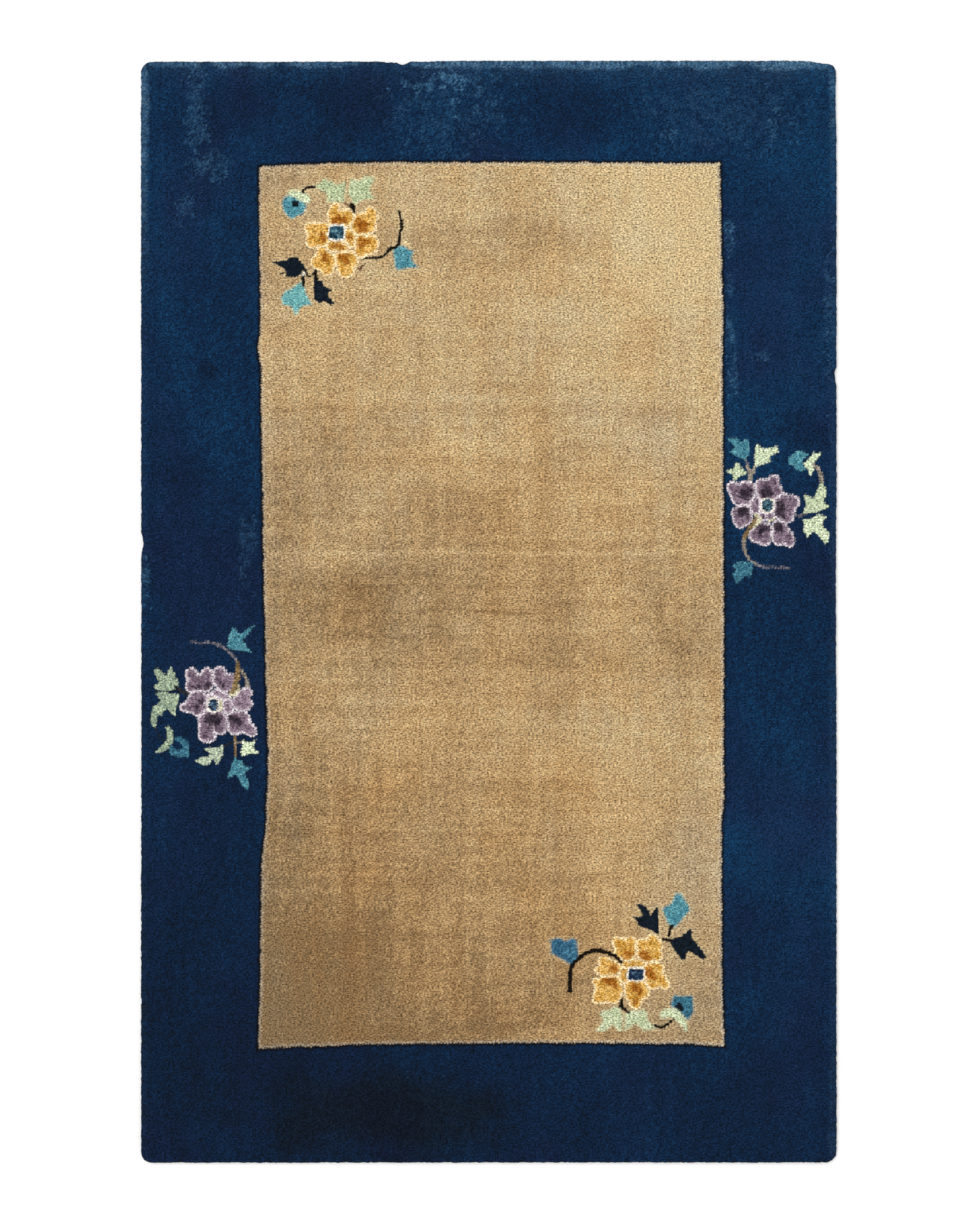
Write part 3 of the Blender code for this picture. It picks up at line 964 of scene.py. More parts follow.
# The purple spray on the left border.
LEFT = Spray(
    name="spray_left",
    centre=(-361.4, -122.3),
    petals=(
        Petal(((-24, 28, 9.5), (-28.5, 40.5, 6), (-12, 29, 10), (-8.5, 40.5, 6), (-29, 24, 5)),
              ((-9, 25, 6), (-20, 25, 2.8))),
        Petal(((8, 42, 6.4), (8.5, 33, 7.5), (18, 29, 8.5), (22, 33, 5.6), (13, 25, 6.5), (25, 34.5, 3)),
              ((11, 26, 3.2),)),
        Petal(((-20, 9, 9), (-19, -4, 9), (-30, -2, 6.5), (-39, -3.5, 3.4), (-27, 3, 7), (-25, 12, 5)),
              ((-17, 4, 4.6), (-22, -2, 2.8))),
        Petal(((-9, -18, 9.5), (6, -19, 9.5), (-9, -31, 9), (-10.5, -40, 7), (8.5, -30, 7.5), (-4, -42.5, 4)),
              ((-4, -19, 8), (4, -18, 7))),
        Petal(((27, -18, 8.5), (37, -18, 8.5), (27.5, -30, 7), (39, -27, 8), (47, -32, 6), (51, -36.5, 3)),
              ((27, -18, 7.5), (34, -22, 6))),
        Petal(((32.5, 4, 6.5), (40, 12, 7.4), (44, 17, 4.4), (42, 1, 6.5), (35, -1.5, 5), (31, 2, 4)),
              plain=True),
        Petal(((18.5, 2, 5), (19.5, -5, 4.8)), plain=True),
        Petal(((4, 16, 3.2), (11, 13, 3.6), (17, 10.5, 2.8)), plain=True),
    ),
    petal_dye=Dye.MAUVE,
    plain_dye=Dye.PALE_MAUVE,
    stain_dye=Dye.PLUM,
    edge_dye=Dye.PINK_WHITE,
    edge=2.5,
    eye=Eye(Dye.EYE_NAVY, 6.2, 7.8, 2.4, Dye.WHITE),
    heart=17.5,
    beading=1.5,
    under=(
        Leaf(Dye.DEEP_TURQUOISE, (30, 82),
             ((49.5, 69.6, 0.46), (54, 104, 1), (49.5, 103.4, 0.56), (29, 100, 1), (25, 101.8, 1.04),
              (17.5, 78.5, 1), (21, 73.6, 1.04))),
        Stroke(Dye.STEM_PINK, ((-29.6, 83, 2.4), (-18, 81.6, 2.8), (-6, 82.8, 2.8), (7.4, 78.2, 2.8),
                               (18.7, 71.2, 3), (30, 59, 2.8), (32, 52, 3.4))),
        Stroke(Dye.STEM_TAN, ((36, 46.5, 3), (41.5, 37, 4.2), (44.6, 25, 5))),
        Leaf(Dye.GREY_SAGE, (-60, 31),
             ((-46, 24, 1.08), (-53, 45, 1), (-56, 49.4, 0.42), (-74, 49.4, 1), (-78.6, 45, 0.95),
              (-74, 34, 0.7),
              (-78.6, 25, 1), (-76, 20.5, 1), (-60, 18.6, 1), (-48, 20.6, 1))),
        Stroke(Dye.STEM_GREY, ((-50, 23.5, 4.6), (-41, 18, 5.4), (-30, 12.5, 4.6))),
        Stroke(Dye.INK, ((-76, 19.2, 1.8), (-62, 17.8, 1.8), (-48, 18.6, 2.6))),
        Leaf(Dye.GREY_SAGE, (-60, 4),
             ((-45.5, 13, 0.96), (-62, 17.2, 1), (-76, 15.8, 0.56), (-79, -4, 1), (-70, -15, 0.5),
              (-54, -12, 1), (-50.5, -14, 1))),
        Stroke(Dye.GREY_SAGE, ((-75.5, -5, 9), (-78, -14, 8.6), (-78.5, -22, 6.4), (-77, -29, 2))),
        Stroke(Dye.STEM_GREY, ((-75.6, -29, 1.7), (-72.5, -39.7, 1.7), (-65, -48, 1.9))),
        Stroke(Dye.TEAL, ((-49, -44.6, 4), (-42, -46, 7.5), (-36.5, -52, 9), (-37, -60, 10.5),
                          (-45, -63.6, 9.5),
                          (-53, -61.6, 9), (-55, -56.6, 5.5))),
        Stroke(Dye.TEAL, ((-34, -65.4, 5.5), (-33.6, -52, 4))),
        Stroke(Dye.GREY_SAGE, ((-60, -30, 4.4), (-57.6, -37, 7.4), (-57, -45, 7.8), (-60.5, -52, 9),
                               (-66, -57, 7.5),
                               (-75.4, -61.4, 2.4))),
        Stroke(Dye.STEM_GOLD, ((28.5, -38, 4.4), (28.8, -52, 3.6), (29.3, -68, 2.6))),
        Stroke(Dye.STEM_GREY, ((14, -55.8, 3), (20, -50.6, 3), (26, -48.8, 3))),
        Stroke(Dye.STEM_TAN, ((29, -48.8, 2.6), (38, -49.8, 2.6))),
        Leaf(Dye.LIME, (45, -56),
             ((60, -64, 0.55), (55.5, -45.2, 0.66), (38, -45.8, 0.92), (35.8, -62.4, 1), (38, -67.4, 0.8))),
        Leaf(Dye.SAGE, (2, -62),
             ((12.5, -54, 1), (-12.8, -56.6, 0.68), (-6, -70, 0.78), (3.6, -78, 1), (6, -77.6, 1),
              (12, -66, 0.95))),
        Stroke(Dye.SAGE, ((-4, -69.5, 7), (-9, -73.4, 10.5), (-15, -73.6, 8.5), (-23, -73.2, 2))),
        Leaf(Dye.DEEP_TURQUOISE, (32, -83),
             ((49.8, -83, 0.7), (38.8, -73.5, 0.92), (28.2, -69, 1), (23.2, -80, 0.96), (18.2, -97, 0.58),
              (36, -97, 0.84))),
        Stroke(Dye.DEEP_TURQUOISE, ((36.4, -92, 9.6), (40.6, -101, 9.4), (45, -108.6, 4.4))),
    ),
    over=(
        Stroke(Dye.LEMON_WHITE, ((9.6, 5, 4.4), (11, -5, 4.6))),
        Stroke(Dye.LEMON_WHITE, ((31.6, 27, 5.4), (29, 17, 8), (23.6, 13, 6))),
        Stroke(Dye.STEM_GOLD, ((31.6, 56, 3.2), (32.2, 47, 6.4), (31, 36, 7.6), (28.6, 26, 6.6),
                               (25.4, 17.6, 7.2))),
    ),
)

# The purple spray on the right border, much the same turned round.
RIGHT = Spray(
    name="spray_right",
    centre=(365.9, 139.8),
    petals=(
        Petal(((-40, 18.5, 8.5), (-46, 24, 5), (-28, 20, 10), (-36, 10, 8.5), (-26, 10.5, 7.5), (-22, 22, 5.5)),
              ((-27, 14, 7.5), (-34, 13, 5.5), (-24, 18, 4))),
        Petal(((-6, 24, 9), (5, 24, 9.5), (8, 32, 5.5), (10.5, 34, 3), (12, 18, 6), (-5, 15, 7), (5, 15, 6.5)),
              ((-3, 17, 7.5), (3, 15, 4))),
        Petal(((18, 4, 7.5), (19, -8, 9), (31, 4, 7.5), (35.5, 4, 5), (25, -13, 8.5), (28, -4, 6.5),
               (21, 10, 4)),
              ((15, -3, 7.5), (18, -10, 6.5), (19, 3, 4))),
        Petal(((15, -28, 7), (22, -31, 4.6), (17, -38, 8.5), (26, -42, 7), (29, -48, 4.8), (15, -44, 6.5)),
              ((14, -26, 6.5), (17, -32, 4.5))),
        Petal(((-9, -31, 8), (-1.5, -32, 7), (-4, -43, 7), (-14, -40, 7.5), (-3.5, -47, 3.4), (-18, -37.5, 4)),
              ((-6, -29, 7), (-9, -33, 4.5))),
        Petal(((-32, -10, 9.5), (-35, -19, 8), (-28, -17, 6.5), (-42, -8, 3), (-39, -14, 5), (-36, -23.5, 4)),
              ((-31, -8, 7), (-34, -13, 4.5))),
        Petal(((-17, 4, 5.2), (-16, -4, 5.4)), plain=True),
        Petal(((-6, -14.5, 4), (4, -14.6, 4)), plain=True),
    ),
    petal_dye=Dye.MAUVE,
    plain_dye=Dye.MAUVE,
    stain_dye=Dye.PLUM,
    edge_dye=Dye.PINK_WHITE,
    edge=2.5,
    eye=Eye(Dye.EYE_TEAL, 6.9, 7.9, 2.2, Dye.WHITE),
    heart=17.5,
    beading=1.5,
    under=(
        Stroke(Dye.STEM_TAN, ((-30, -42, 5), (-30.8, -53, 4.4), (-28.8, -62, 3.2), (-22.6, -72.4, 2.8),
                              (-13, -78, 2.8))),
        Stroke(Dye.STEM_PINK, ((-14, -77.6, 2.8), (-6.2, -81.3, 2.6), (10, -81, 2.6), (28, -82, 2.6))),
        Leaf(Dye.TEAL, (-31, -83),
             ((-18, -76, 1), (-35, -73.2, 1), (-46, -79.5, 0.68), (-45, -91, 1), (-41, -103, 1),
              (-38, -102.5, 0.66),
              (-22, -94.4, 1))),
        Leaf(Dye.DEEP_TURQUOISE, (-32, 74),
             ((-23.2, 72, 1), (-23.8, 84, 1), (-29, 87.2, 0.64), (-40, 89, 1), (-54, 88.4, 0.5),
              (-49.5, 69.2, 0.98),
              (-28, 58, 1))),
        Stroke(Dye.STEM_PINK, ((-28.6, 60, 2.4), (-25.6, 51, 3.6))),
        Stroke(Dye.STEM_TAN, ((-26, 51, 4), (-22.4, 42, 5.6), (-22.4, 31, 5))),
        Stroke(Dye.STEM_TAN, ((-15.5, 53, 2.6), (-18.5, 43, 4.4))),
        Leaf(Dye.LIME, (-8, 65),
             ((5.6, 57, 0.6), (14.2, 69.4, 1), (13, 78.4, 0.62), (-14, 80.8, 1), (-16.6, 66, 1),
              (-16.4, 49.6, 0.92))),
        Leaf(Dye.PALE_SAGE, (-39, 44),
             ((-25.6, 41, 1), (-38.5, 55, 1), (-42, 54.6, 0.62), (-56.6, 44.4, 0.56), (-44.6, 30, 0.66))),
        Leaf(Dye.TURQUOISE, (40, 60),
             ((50, 47.5, 0.42), (55, 67.5, 1), (45, 71, 1), (38.5, 71.4, 0.82), (28, 64.4, 1), (28, 54, 0.86),
              (38, 46.6, 1), (46, 44, 1))),
        Leaf(Dye.LIME, (56, 56),
             ((60.6, 46, 0.5), (72.4, 69, 1), (60, 69, 0.94), (47.4, 54, 1), (50.5, 49.8, 0.8), (54.6, 39.6, 1),
              (57.4, 39.4, 1))),
        Stroke(Dye.STEM_TAN, ((60.7, 53.4, 4.4), (67, 47.4, 4.8), (70, 38, 4.6), (71.6, 28, 3.4))),
        Leaf(Dye.PALE_SAGE, (63, 1),
             ((82.4, -2, 0.66), (77.6, 17, 1), (73.4, 30, 1), (70, 29.6, 1), (66.6, 23, 0.5), (50, 14.4, 1),
              (47.6, 13, 0.82), (47, -11, 1), (65, -8.8, 1))),
        Stroke(Dye.STEM_PINK, ((51, -10.6, 3.2), (42, -14.2, 3.2), (34.8, -12.3, 2.6))),
        Leaf(Dye.LIME, (60, -25),
             ((80.4, -36, 0.6), (78, -15, 1), (68, -12.2, 0.86), (45.8, -18.4, 0.8), (46.8, -33, 0.88),
              (51.6, -42.4, 0.4), (76, -50, 1), (78.4, -49, 1.04))),
    ),
    over=(
        Stroke(Dye.LEMON_WHITE, ((-15, -13, 5), (-11, -20, 6), (-18, -27, 4))),
        Stroke(Dye.LEMON_WHITE, ((2, -20.6, 3.4), (9, -18, 3.4))),
        Stroke(Dye.STEM_GOLD, ((-15.4, -17, 4.2), (-19.6, -25, 5.2), (-25.6, -34, 5.2), (-30, -43, 5))),
    ),
)

SPRAYS = (TOP_LEFT, BOTTOM_RIGHT, LEFT, RIGHT)


# ---------------------------------------------------------------------------------------------------------
# The pile: its colours and its height
# ---------------------------------------------------------------------------------------------------------

# Bands of slightly different dye lots, as places along the rug and how light the camel is there.
CAMEL_BANDS = ((-0.560, -0.80), (-0.450, -0.60), (-0.340, -0.20), (-0.250, -0.12), (-0.165, 0.12),
               (-0.050, -0.18), (0.060, -0.16), (0.175, 0.15), (0.290, 0.38), (0.440, 0.42), (0.560, 0.45))
# How far the camel turns from grey, -1, to warm, 1, along the rug.
WARMTH_BANDS = ((-0.560, 0.30), (-0.440, 0.38), (-0.220, 0.36), (-0.100, 0.15), (0.010, 0.12),
                (0.130, 0.10), (0.250, 0.00), (0.400, 0.10), (0.560, 0.00))
# The same bands for the navy of the border on the left, and how much lighter it is on the right.
NAVY_BANDS = ((-0.710, -0.50), (-0.600, -0.55), (-0.450, -0.42), (-0.300, -0.20), (-0.150, -0.14),
              (0.050, -0.05), (0.300, 0.05), (0.480, 0.22), (0.580, 0.20), (0.710, 0.18))
NAVY_RIGHTWARD = ((-0.710, 0.30), (-0.500, 0.44), (-0.300, 0.58), (-0.150, 0.34), (-0.010, 0.02),
                  (0.300, 0.32), (0.560, 0.16), (0.710, 0.10))

# Traces of old folds across the camel.
# Columns: place along, its start and end across, half-width, how much lighter or darker the wool is there.
FOLD_MARKS = (
    (0.078, -0.300, 0.300, 0.0032, 0.28),
    (0.001, -0.095, 0.080, 0.0022, -0.55),
    (0.036, -0.240, 0.150, 0.0060, -0.15),
    (0.262, -0.300, 0.300, 0.0140, -0.25),
    (-0.086, -0.300, 0.100, 0.0110, 0.20),
    (-0.118, -0.140, 0.080, 0.0080, 0.24),
)

# Where the camel is darker or lighter, in soft ovals.
# Columns: middle across, middle along, half-width, half-length, how much lighter or darker.
FADED_PATCHES = (
    (0.010, 0.487, 0.140, 0.034, -0.54),
    (0.245, 0.520, 0.080, 0.110, 0.62),
    (0.225, 0.310, 0.080, 0.120, 0.14),
    (0.222, 0.258, 0.040, 0.014, -0.40),
    (-0.205, 0.260, 0.018, 0.150, -0.18),
    (-0.215, 0.200, 0.085, 0.070, -0.20),
    (0.075, 0.227, 0.020, 0.160, -0.18),
    (-0.010, 0.216, 0.080, 0.013, 0.30),
    (-0.210, 0.068, 0.080, 0.020, 0.34),
    (-0.062, 0.142, 0.062, 0.040, -0.36),
    (-0.130, 0.015, 0.170, 0.048, -0.26),
    (0.255, 0.005, 0.050, 0.070, -0.18),
    (0.150, -0.110, 0.034, 0.200, 0.22),
    (-0.010, -0.205, 0.075, 0.055, -0.20),
    (0.120, -0.558, 0.150, 0.015, 0.34),
    (-0.260, -0.250, 0.070, 0.120, -0.16),
    (-0.215, -0.460, 0.100, 0.100, -0.12),
    (0.215, -0.440, 0.080, 0.080, 0.24),
    (-0.060, -0.445, 0.100, 0.070, 0.16),
)

# Where the border is rubbed down to the paler roots of its pile, in ragged ovals.
# Columns: middle across, middle along, half-width, half-length, how much of the wool is pale.
RUBBED_PATCHES = (
    (-0.385, 0.650, 0.011, 0.050, 0.20),
    (-0.050, 0.660, 0.055, 0.045, 0.10),
    (-0.085, 0.690, 0.028, 0.005, 0.50),
    (-0.055, 0.700, 0.018, 0.005, 0.45),
    (-0.040, 0.690, 0.007, 0.022, 0.62),
    (-0.015, 0.680, 0.006, 0.025, 0.22),
    (0.238, 0.626, 0.010, 0.008, 0.32),
    (0.375, 0.640, 0.008, 0.014, 0.24),
    (0.300, 0.650, 0.080, 0.035, 0.08),
    (-0.362, 0.585, 0.018, 0.014, 0.22),
    (-0.402, 0.530, 0.010, 0.012, 0.16),
    (-0.318, 0.085, 0.010, 0.035, 0.12),
    (-0.450, 0.045, 0.005, 0.025, 0.22),
    (0.316, 0.490, 0.005, 0.018, 0.30),
    (0.315, 0.430, 0.004, 0.020, 0.22),
    (0.315, 0.365, 0.005, 0.018, 0.26),
    (0.319, 0.305, 0.007, 0.022, 0.28),
    (0.446, 0.390, 0.005, 0.060, 0.16),
    (0.355, 0.335, 0.012, 0.004, 0.20),
)

# Where the border has kept its full depth of colour. The columns are the same.
DEEP_PATCHES = (
    (-0.335, 0.665, 0.045, 0.038, -0.34),
    (-0.185, 0.655, 0.050, 0.045, -0.34),
    (0.090, 0.655, 0.080, 0.045, -0.36),
    (0.410, 0.655, 0.035, 0.030, -0.20),
    (-0.370, 0.315, 0.012, 0.012, -0.40),
    (0.410, 0.240, 0.035, 0.028, -0.50),
    (-0.400, 0.185, 0.035, 0.020, -0.25),
)
# The nearly black patch in the border's bottom left. Middle across and along, half-width, half-length.
INK_PATCH = (-0.135, -0.655, 0.150, 0.055)

# The soft unevenness of the wool. Columns: kind, size across, size along, strength, seed.
CAMEL_SHADES = (
    Unevenness(patches, 0.150, 0.0065, 0.17, 33),
    Unevenness(patches, 0.009, 0.110, 0.17, 34),
    Unevenness(clouds, 0.075, 0.070, 0.26, 35),
    Unevenness(patches, 0.012, 0.008, 0.16, 39),
)
CAMEL_WARMTHS = (
    Unevenness(clouds, 0.080, 0.075, 0.40, 48),
    Unevenness(patches, 0.014, 0.120, 0.22, 49),
    Unevenness(patches, 0.100, 0.010, 0.12, 50),
)
NAVY_SHADES = (
    Unevenness(patches, 0.010, 0.080, 0.12, 36),
    Unevenness(clouds, 0.060, 0.075, 0.22, 37),
)
NAVY_VIOLET = Unevenness(clouds, 0.080, 0.100, 0.9, 38)
# How the folds bend and the ovals' edges stray.
FOLD_BEND = Unevenness(patches, 0.050, 1.0, 0.0035, 40)
CAMEL_RAGGED = Unevenness(clouds, 0.055, 0.045, 0.4, 66)
NAVY_RAGGED = Unevenness(clouds, 0.050, 0.035, 0.45, 58)
RUBBED_PATCHY = Unevenness(clouds, 0.010, 0.010, 0.8, 67)
# The motifs' own outlines stray by these, in mm.
SWAY_ACROSS = Unevenness(patches, 5.0, 5.0, 0.6, 41)
SWAY_ALONG = Unevenness(patches, 5.0, 5.0, 0.6, 43)


def rightward(x: np.ndarray) -> np.ndarray:
    """Return a soft rise from 0 in the left of the rug to 1 in its right."""
    return ease((x + 0.25) / 0.5)


@dataclass
class Pile:
    """The clipped wool pile: each point's colour and height.

    Attributes:
        grid: The knots in plan.
        dome: How far the middle of a knot stands above its corners.
        unevenness: How far neighbouring knots differ in height.
        clip_depth: How deep the pile is clipped along a motif's edge.
        knot_hold: How much of a knot takes the colour at its own middle, from 0 to 1.
        edge_bulge: How far a knot on the field's edge bulges over it.
        knot_grain: How much lighter or darker one knot of the ground is than another.
        point_grain: The same from one tuft to the next.
    """

    grid: KnotGrid
    dome: float = 0.00045
    unevenness: float = 0.00040
    clip_depth: float = 0.0007
    knot_hold: float = 0.35
    edge_bulge: float = 0.0013
    knot_grain: float = 0.26
    point_grain: float = 0.34
    colour: np.ndarray = field(init=False)
    z: np.ndarray = field(init=False)
    carving: np.ndarray = field(init=False)
    motif_cover: np.ndarray = field(init=False)

    def __post_init__(self) -> None:
        """Dye the ground, knot the sprays into it and clip the pile."""
        self.colour = self.ground()
        self.carving = np.zeros(self.grid.x.shape)
        self.motif_cover = np.zeros(self.grid.x.shape, dtype=bool)
        for spray in SPRAYS:
            self.knot_spray(spray)
        self.add_wear()
        self.z = self.heights()

    def ground(self) -> np.ndarray:
        """Return the colours of the field and the border, with painted shade in the groove between them."""
        grid = self.grid
        edge_blend, felted_in, felted_width = 0.0014, 0.0016, 0.0014
        line_start, line_rise, line_end, line_fall, line_cover = -0.0005, 0.0012, 0.0042, 0.0022, 0.9
        out = grid.out_of_field - self.edge_bulge * (grid.edge_scallops() - 0.6 + 0.5 * grid.knot_values(47))
        grain = self.knot_grain * grid.knot_values(31) + self.point_grain * grid.point_values(32)
        colour, camel = self.navy_border(grain), self.camel_field(grain)
        colour += (camel - colour) * ease(0.5 - out / edge_blend)[..., None]
        felting = (0.44 + 0.24 * rightward(grid.x)) * np.exp(-((out + felted_in) / felted_width) ** 2)
        colour += (Dye.FELTED_CAMEL.value.shade(2 * grain) - colour) * felting[..., None]
        # Painted shade: a dark line down the carved groove at the field's edge, mostly on the border's side.
        line = line_cover * ease((out - line_start) / line_rise) * ease((line_end - out) / line_fall)
        colour += (Dye.GROOVE_PAINTED_SHADE.value.shade(2 * grain) - colour) * line[..., None]
        return colour

    def camel_field(self, grain: np.ndarray) -> np.ndarray:
        """Return the colours of the camel: dye lots in bands, warmer and greyer patches, and old folds."""
        x, y = self.grid.x, self.grid.y
        fold_end = 0.02
        half_field = 0.3
        slant = x / half_field * (0.16 + 0.34 * ease(-y / 0.5) + 0.30 * ease((y - 0.35) / 0.2))
        shade = eased_table(CAMEL_BANDS, y) + slant + grain + summed(CAMEL_SHADES, x, y)
        bent = FOLD_BEND.at(x, y)
        for along, start, end, half_width, amount in FOLD_MARKS:
            run = ease((x - start) / fold_end) * ease((end - x) / fold_end)
            shade += amount * run * np.exp(-((y - along - bent) / half_width) ** 2)
        ragged = CAMEL_RAGGED.at(x, y)
        for *place, amount in FADED_PATCHES:
            shade += amount * oval(x, y, place, ragged)
        sides = ease((np.abs(x + 0.02) - 0.14) / 0.16) * (0.20 + 0.80 * ease((-0.05 - y) / 0.35))
        warmth = eased_table(WARMTH_BANDS, y) - 0.75 * sides + summed(CAMEL_WARMTHS, x, y)
        colour = Dye.CAMEL.value.shade(shade)
        colour += (Dye.WARM_CAMEL.value.shade(shade) - colour) * np.clip(warmth, 0, 1)[..., None]
        colour += (Dye.GREY_CAMEL.value.shade(shade) - colour) * np.clip(-warmth, 0, 1)[..., None]
        return colour

    def navy_border(self, grain: np.ndarray) -> np.ndarray:
        """Return the colours of the navy: soft patches, some violet, and one that is nearly black."""
        x, y = self.grid.x, self.grid.y
        violet_cover, ink_cover, rubbed_cover = 0.6, 0.78, 0.9
        shade = eased_table(NAVY_BANDS, y) + eased_table(NAVY_RIGHTWARD, y) * rightward(x)
        shade += summed(NAVY_SHADES, x, y) + 1.15 * grain
        ragged = NAVY_RAGGED.at(x, y)
        for *place, amount in DEEP_PATCHES:
            shade += amount * oval(x, y, place, ragged)
        colour = Dye.NAVY.value.shade(shade)
        violet = violet_cover * ease(0.15 + NAVY_VIOLET.at(x, y) + 1.2 * grain)
        colour += (Dye.PURPLE_NAVY.value.shade(shade) - colour) * violet[..., None]
        dark = ink_cover * oval(x, y, INK_PATCH, ragged)
        colour += (Dye.INK.value.shade(shade) - colour) * dark[..., None]
        patchy = RUBBED_PATCHY.at(x, y) + 1.2 * grain
        pale = np.zeros_like(x)
        for *place, amount in RUBBED_PATCHES:
            pale = np.maximum(pale, amount * (1 + patchy) * oval(x, y, place, patchy, reach=1.4))
        pale = np.minimum(pale, rubbed_cover)[..., None]
        colour += (Dye.RUBBED_NAVY.value.shade(2 * grain) - colour) * pale
        return colour

    def knot_spray(self, spray: Spray) -> None:
        """Knot one spray into the pile."""
        columns, rows = self.window(spray)
        part = np.s_[columns[0]:columns[1] + 1, rows[0]:rows[1] + 1]
        grid = self.grid
        hold = self.knot_hold
        x = (grid.x[part] * (1 - hold) + grid.knot_x[part] * hold) / MM - spray.centre[0]
        y = (grid.y[part] * (1 - hold) + grid.knot_y[part] * hold) / MM - spray.centre[1]
        knot_sway = 0.4
        x += SWAY_ACROSS.at(x, y) + knot_sway * grid.knot_values(42)[part]
        y += SWAY_ALONG.at(x, y) + knot_sway * grid.knot_values(44)[part]
        mottle = 0.3 * grid.knot_values(45)[part] + 0.5 * grid.point_values(46)[part]
        beads = spray.beading * (grid.knot_dome()[part] - 0.4)
        canvas = Canvas(x, y, self.colour[part], self.carving[part], mottle, beads, np.ones(x.shape))
        before = canvas.colour.copy()
        on_camel = spray in (TOP_LEFT, BOTTOM_RIGHT)
        spray.paint(canvas, Dye.PALE_CAMEL if on_camel else None)
        self.motif_cover[part] |= np.abs(canvas.colour - before).max(axis=-1) > 0.01

    def window(self, spray: Spray) -> tuple[tuple[int, int], tuple[int, int]]:
        """Return the first and last grid column and row of the whole knots that a spray needs."""
        low_x, high_x, low_y, high_y = spray.extent()
        steps = self.grid.steps
        margin = 0.002
        columns = np.nonzero((self.grid.x[:, ::steps] > low_x - margin).all(axis=1)
                             & (self.grid.x[:, ::steps] < high_x + margin).all(axis=1))[0]
        rows = np.nonzero((self.grid.y[::steps, :] > low_y - margin).all(axis=0)
                          & (self.grid.y[::steps, :] < high_y + margin).all(axis=0))[0]
        first_column = max(columns[0] // steps * steps, steps)
        last_column = min(-(-columns[-1] // steps) * steps, self.grid.x.shape[0] - 1 - steps)
        first_row, last_row = rows[0] // steps * steps, -(-rows[-1] // steps) * steps
        return (int(first_column), int(last_column)), (int(first_row), int(last_row))

    def add_wear(self) -> None:
        """Lighten the worn rim, most along the top, where the wear runs in as ragged tongues."""
        grid = self.grid
        x, y = grid.x, grid.y
        blend = 0.005
        ragged = 0.85 + 0.25 * grid.point_values(52) + 0.25 * grid.knot_values(59)
        more = ease((x + 0.35) / 0.8)
        from_top = np.maximum(RUG_LENGTH / 2 - PILE_INSET - y, 0)
        from_left = np.maximum(x + RUG_WIDTH / 2 - PILE_INSET, 0)
        from_right = np.maximum(RUG_WIDTH / 2 - PILE_INSET - x, 0)
        tongues = clouds(x, y, 0.024, 0.016, 51)
        top_band = 0.0022 + 0.0030 * more + 0.0050 * tongues
        top = (0.60 + 0.12 * more) * ease((top_band - from_top) / blend + 0.5)
        top += (0.12 + 0.18 * more) * np.exp(-from_top / 0.012) * (1 + 0.6 * tongues)
        side_band = 0.0038 + 0.0035 * clouds(x, y, 0.016, 0.024, 53)
        left = ease((side_band - from_left) / blend + 0.5) * (0.03 + 0.55 * ease((y - 0.40) / 0.26))
        right = ease((side_band - from_right) / blend + 0.5) * (0.08 + 0.34 * ease((y - 0.55) / 0.15))
        wear = np.clip(np.maximum.reduce([top, left, right]) * ragged, 0, 1)[..., None]
        self.colour += (Dye.WORN_BLUE.value.shade(grid.point_values(54)) - self.colour) * wear

    def heights(self) -> np.ndarray:
        """Return how high the pile stands at each point."""
        grid = self.grid
        knot_size, swell_size, carved_width = 0.0039, 0.030, 0.0016
        knot_level = patches(grid.x, grid.y, knot_size, knot_size, 61)
        swell = patches(grid.x, grid.y, swell_size, swell_size, 63)
        height = self.dome * (grid.knot_dome() - 0.6) + self.unevenness * knot_level
        height += 0.00022 * grid.point_values(62) + 0.0003 * swell
        height -= CARVED_DEPTH * np.exp(-(grid.out_of_field / carved_width) ** 2)
        height -= self.clip_depth * self.carving
        return RUG_THICKNESS + height


# ---------------------------------------------------------------------------------------------------------
# Materials
# ---------------------------------------------------------------------------------------------------------

def add_node(tree: bpy.types.NodeTree, kind: str, settings: dict | None = None, values: dict | None = None,
             links: dict | None = None) -> bpy.types.Node:
    """Add a node with its settings, its input values and its incoming links.

    Args:
        tree: The node tree to add it to.
        kind: The node's type, such as "ShaderNodeTexNoise".
        settings: Values for the node's own properties.
        values: Values for its inputs, by name or number.
        links: Output sockets to join to its inputs, by name or number.

    Returns:
        The new node.
    """
    node = tree.nodes.new(kind)
    for name, value in (settings or {}).items():
        setattr(node, name, value)
    for name, value in (values or {}).items():
        node.inputs[name].default_value = value
    for name, socket in (links or {}).items():
        tree.links.new(socket, node.inputs[name])
    return node


def new_material(name: str) -> tuple[bpy.types.Material, bpy.types.NodeTree, bpy.types.Node]:
    """Return a new material, its node tree and its Principled shader."""
    material = bpy.data.materials.new(name)
    material.use_nodes = True
    tree = material.node_tree
    tree.nodes.clear()
    shader = add_node(tree, "ShaderNodeBsdfPrincipled")
    add_node(tree, "ShaderNodeOutputMaterial", links={"Surface": shader.outputs["BSDF"]})
    return material, tree, shader


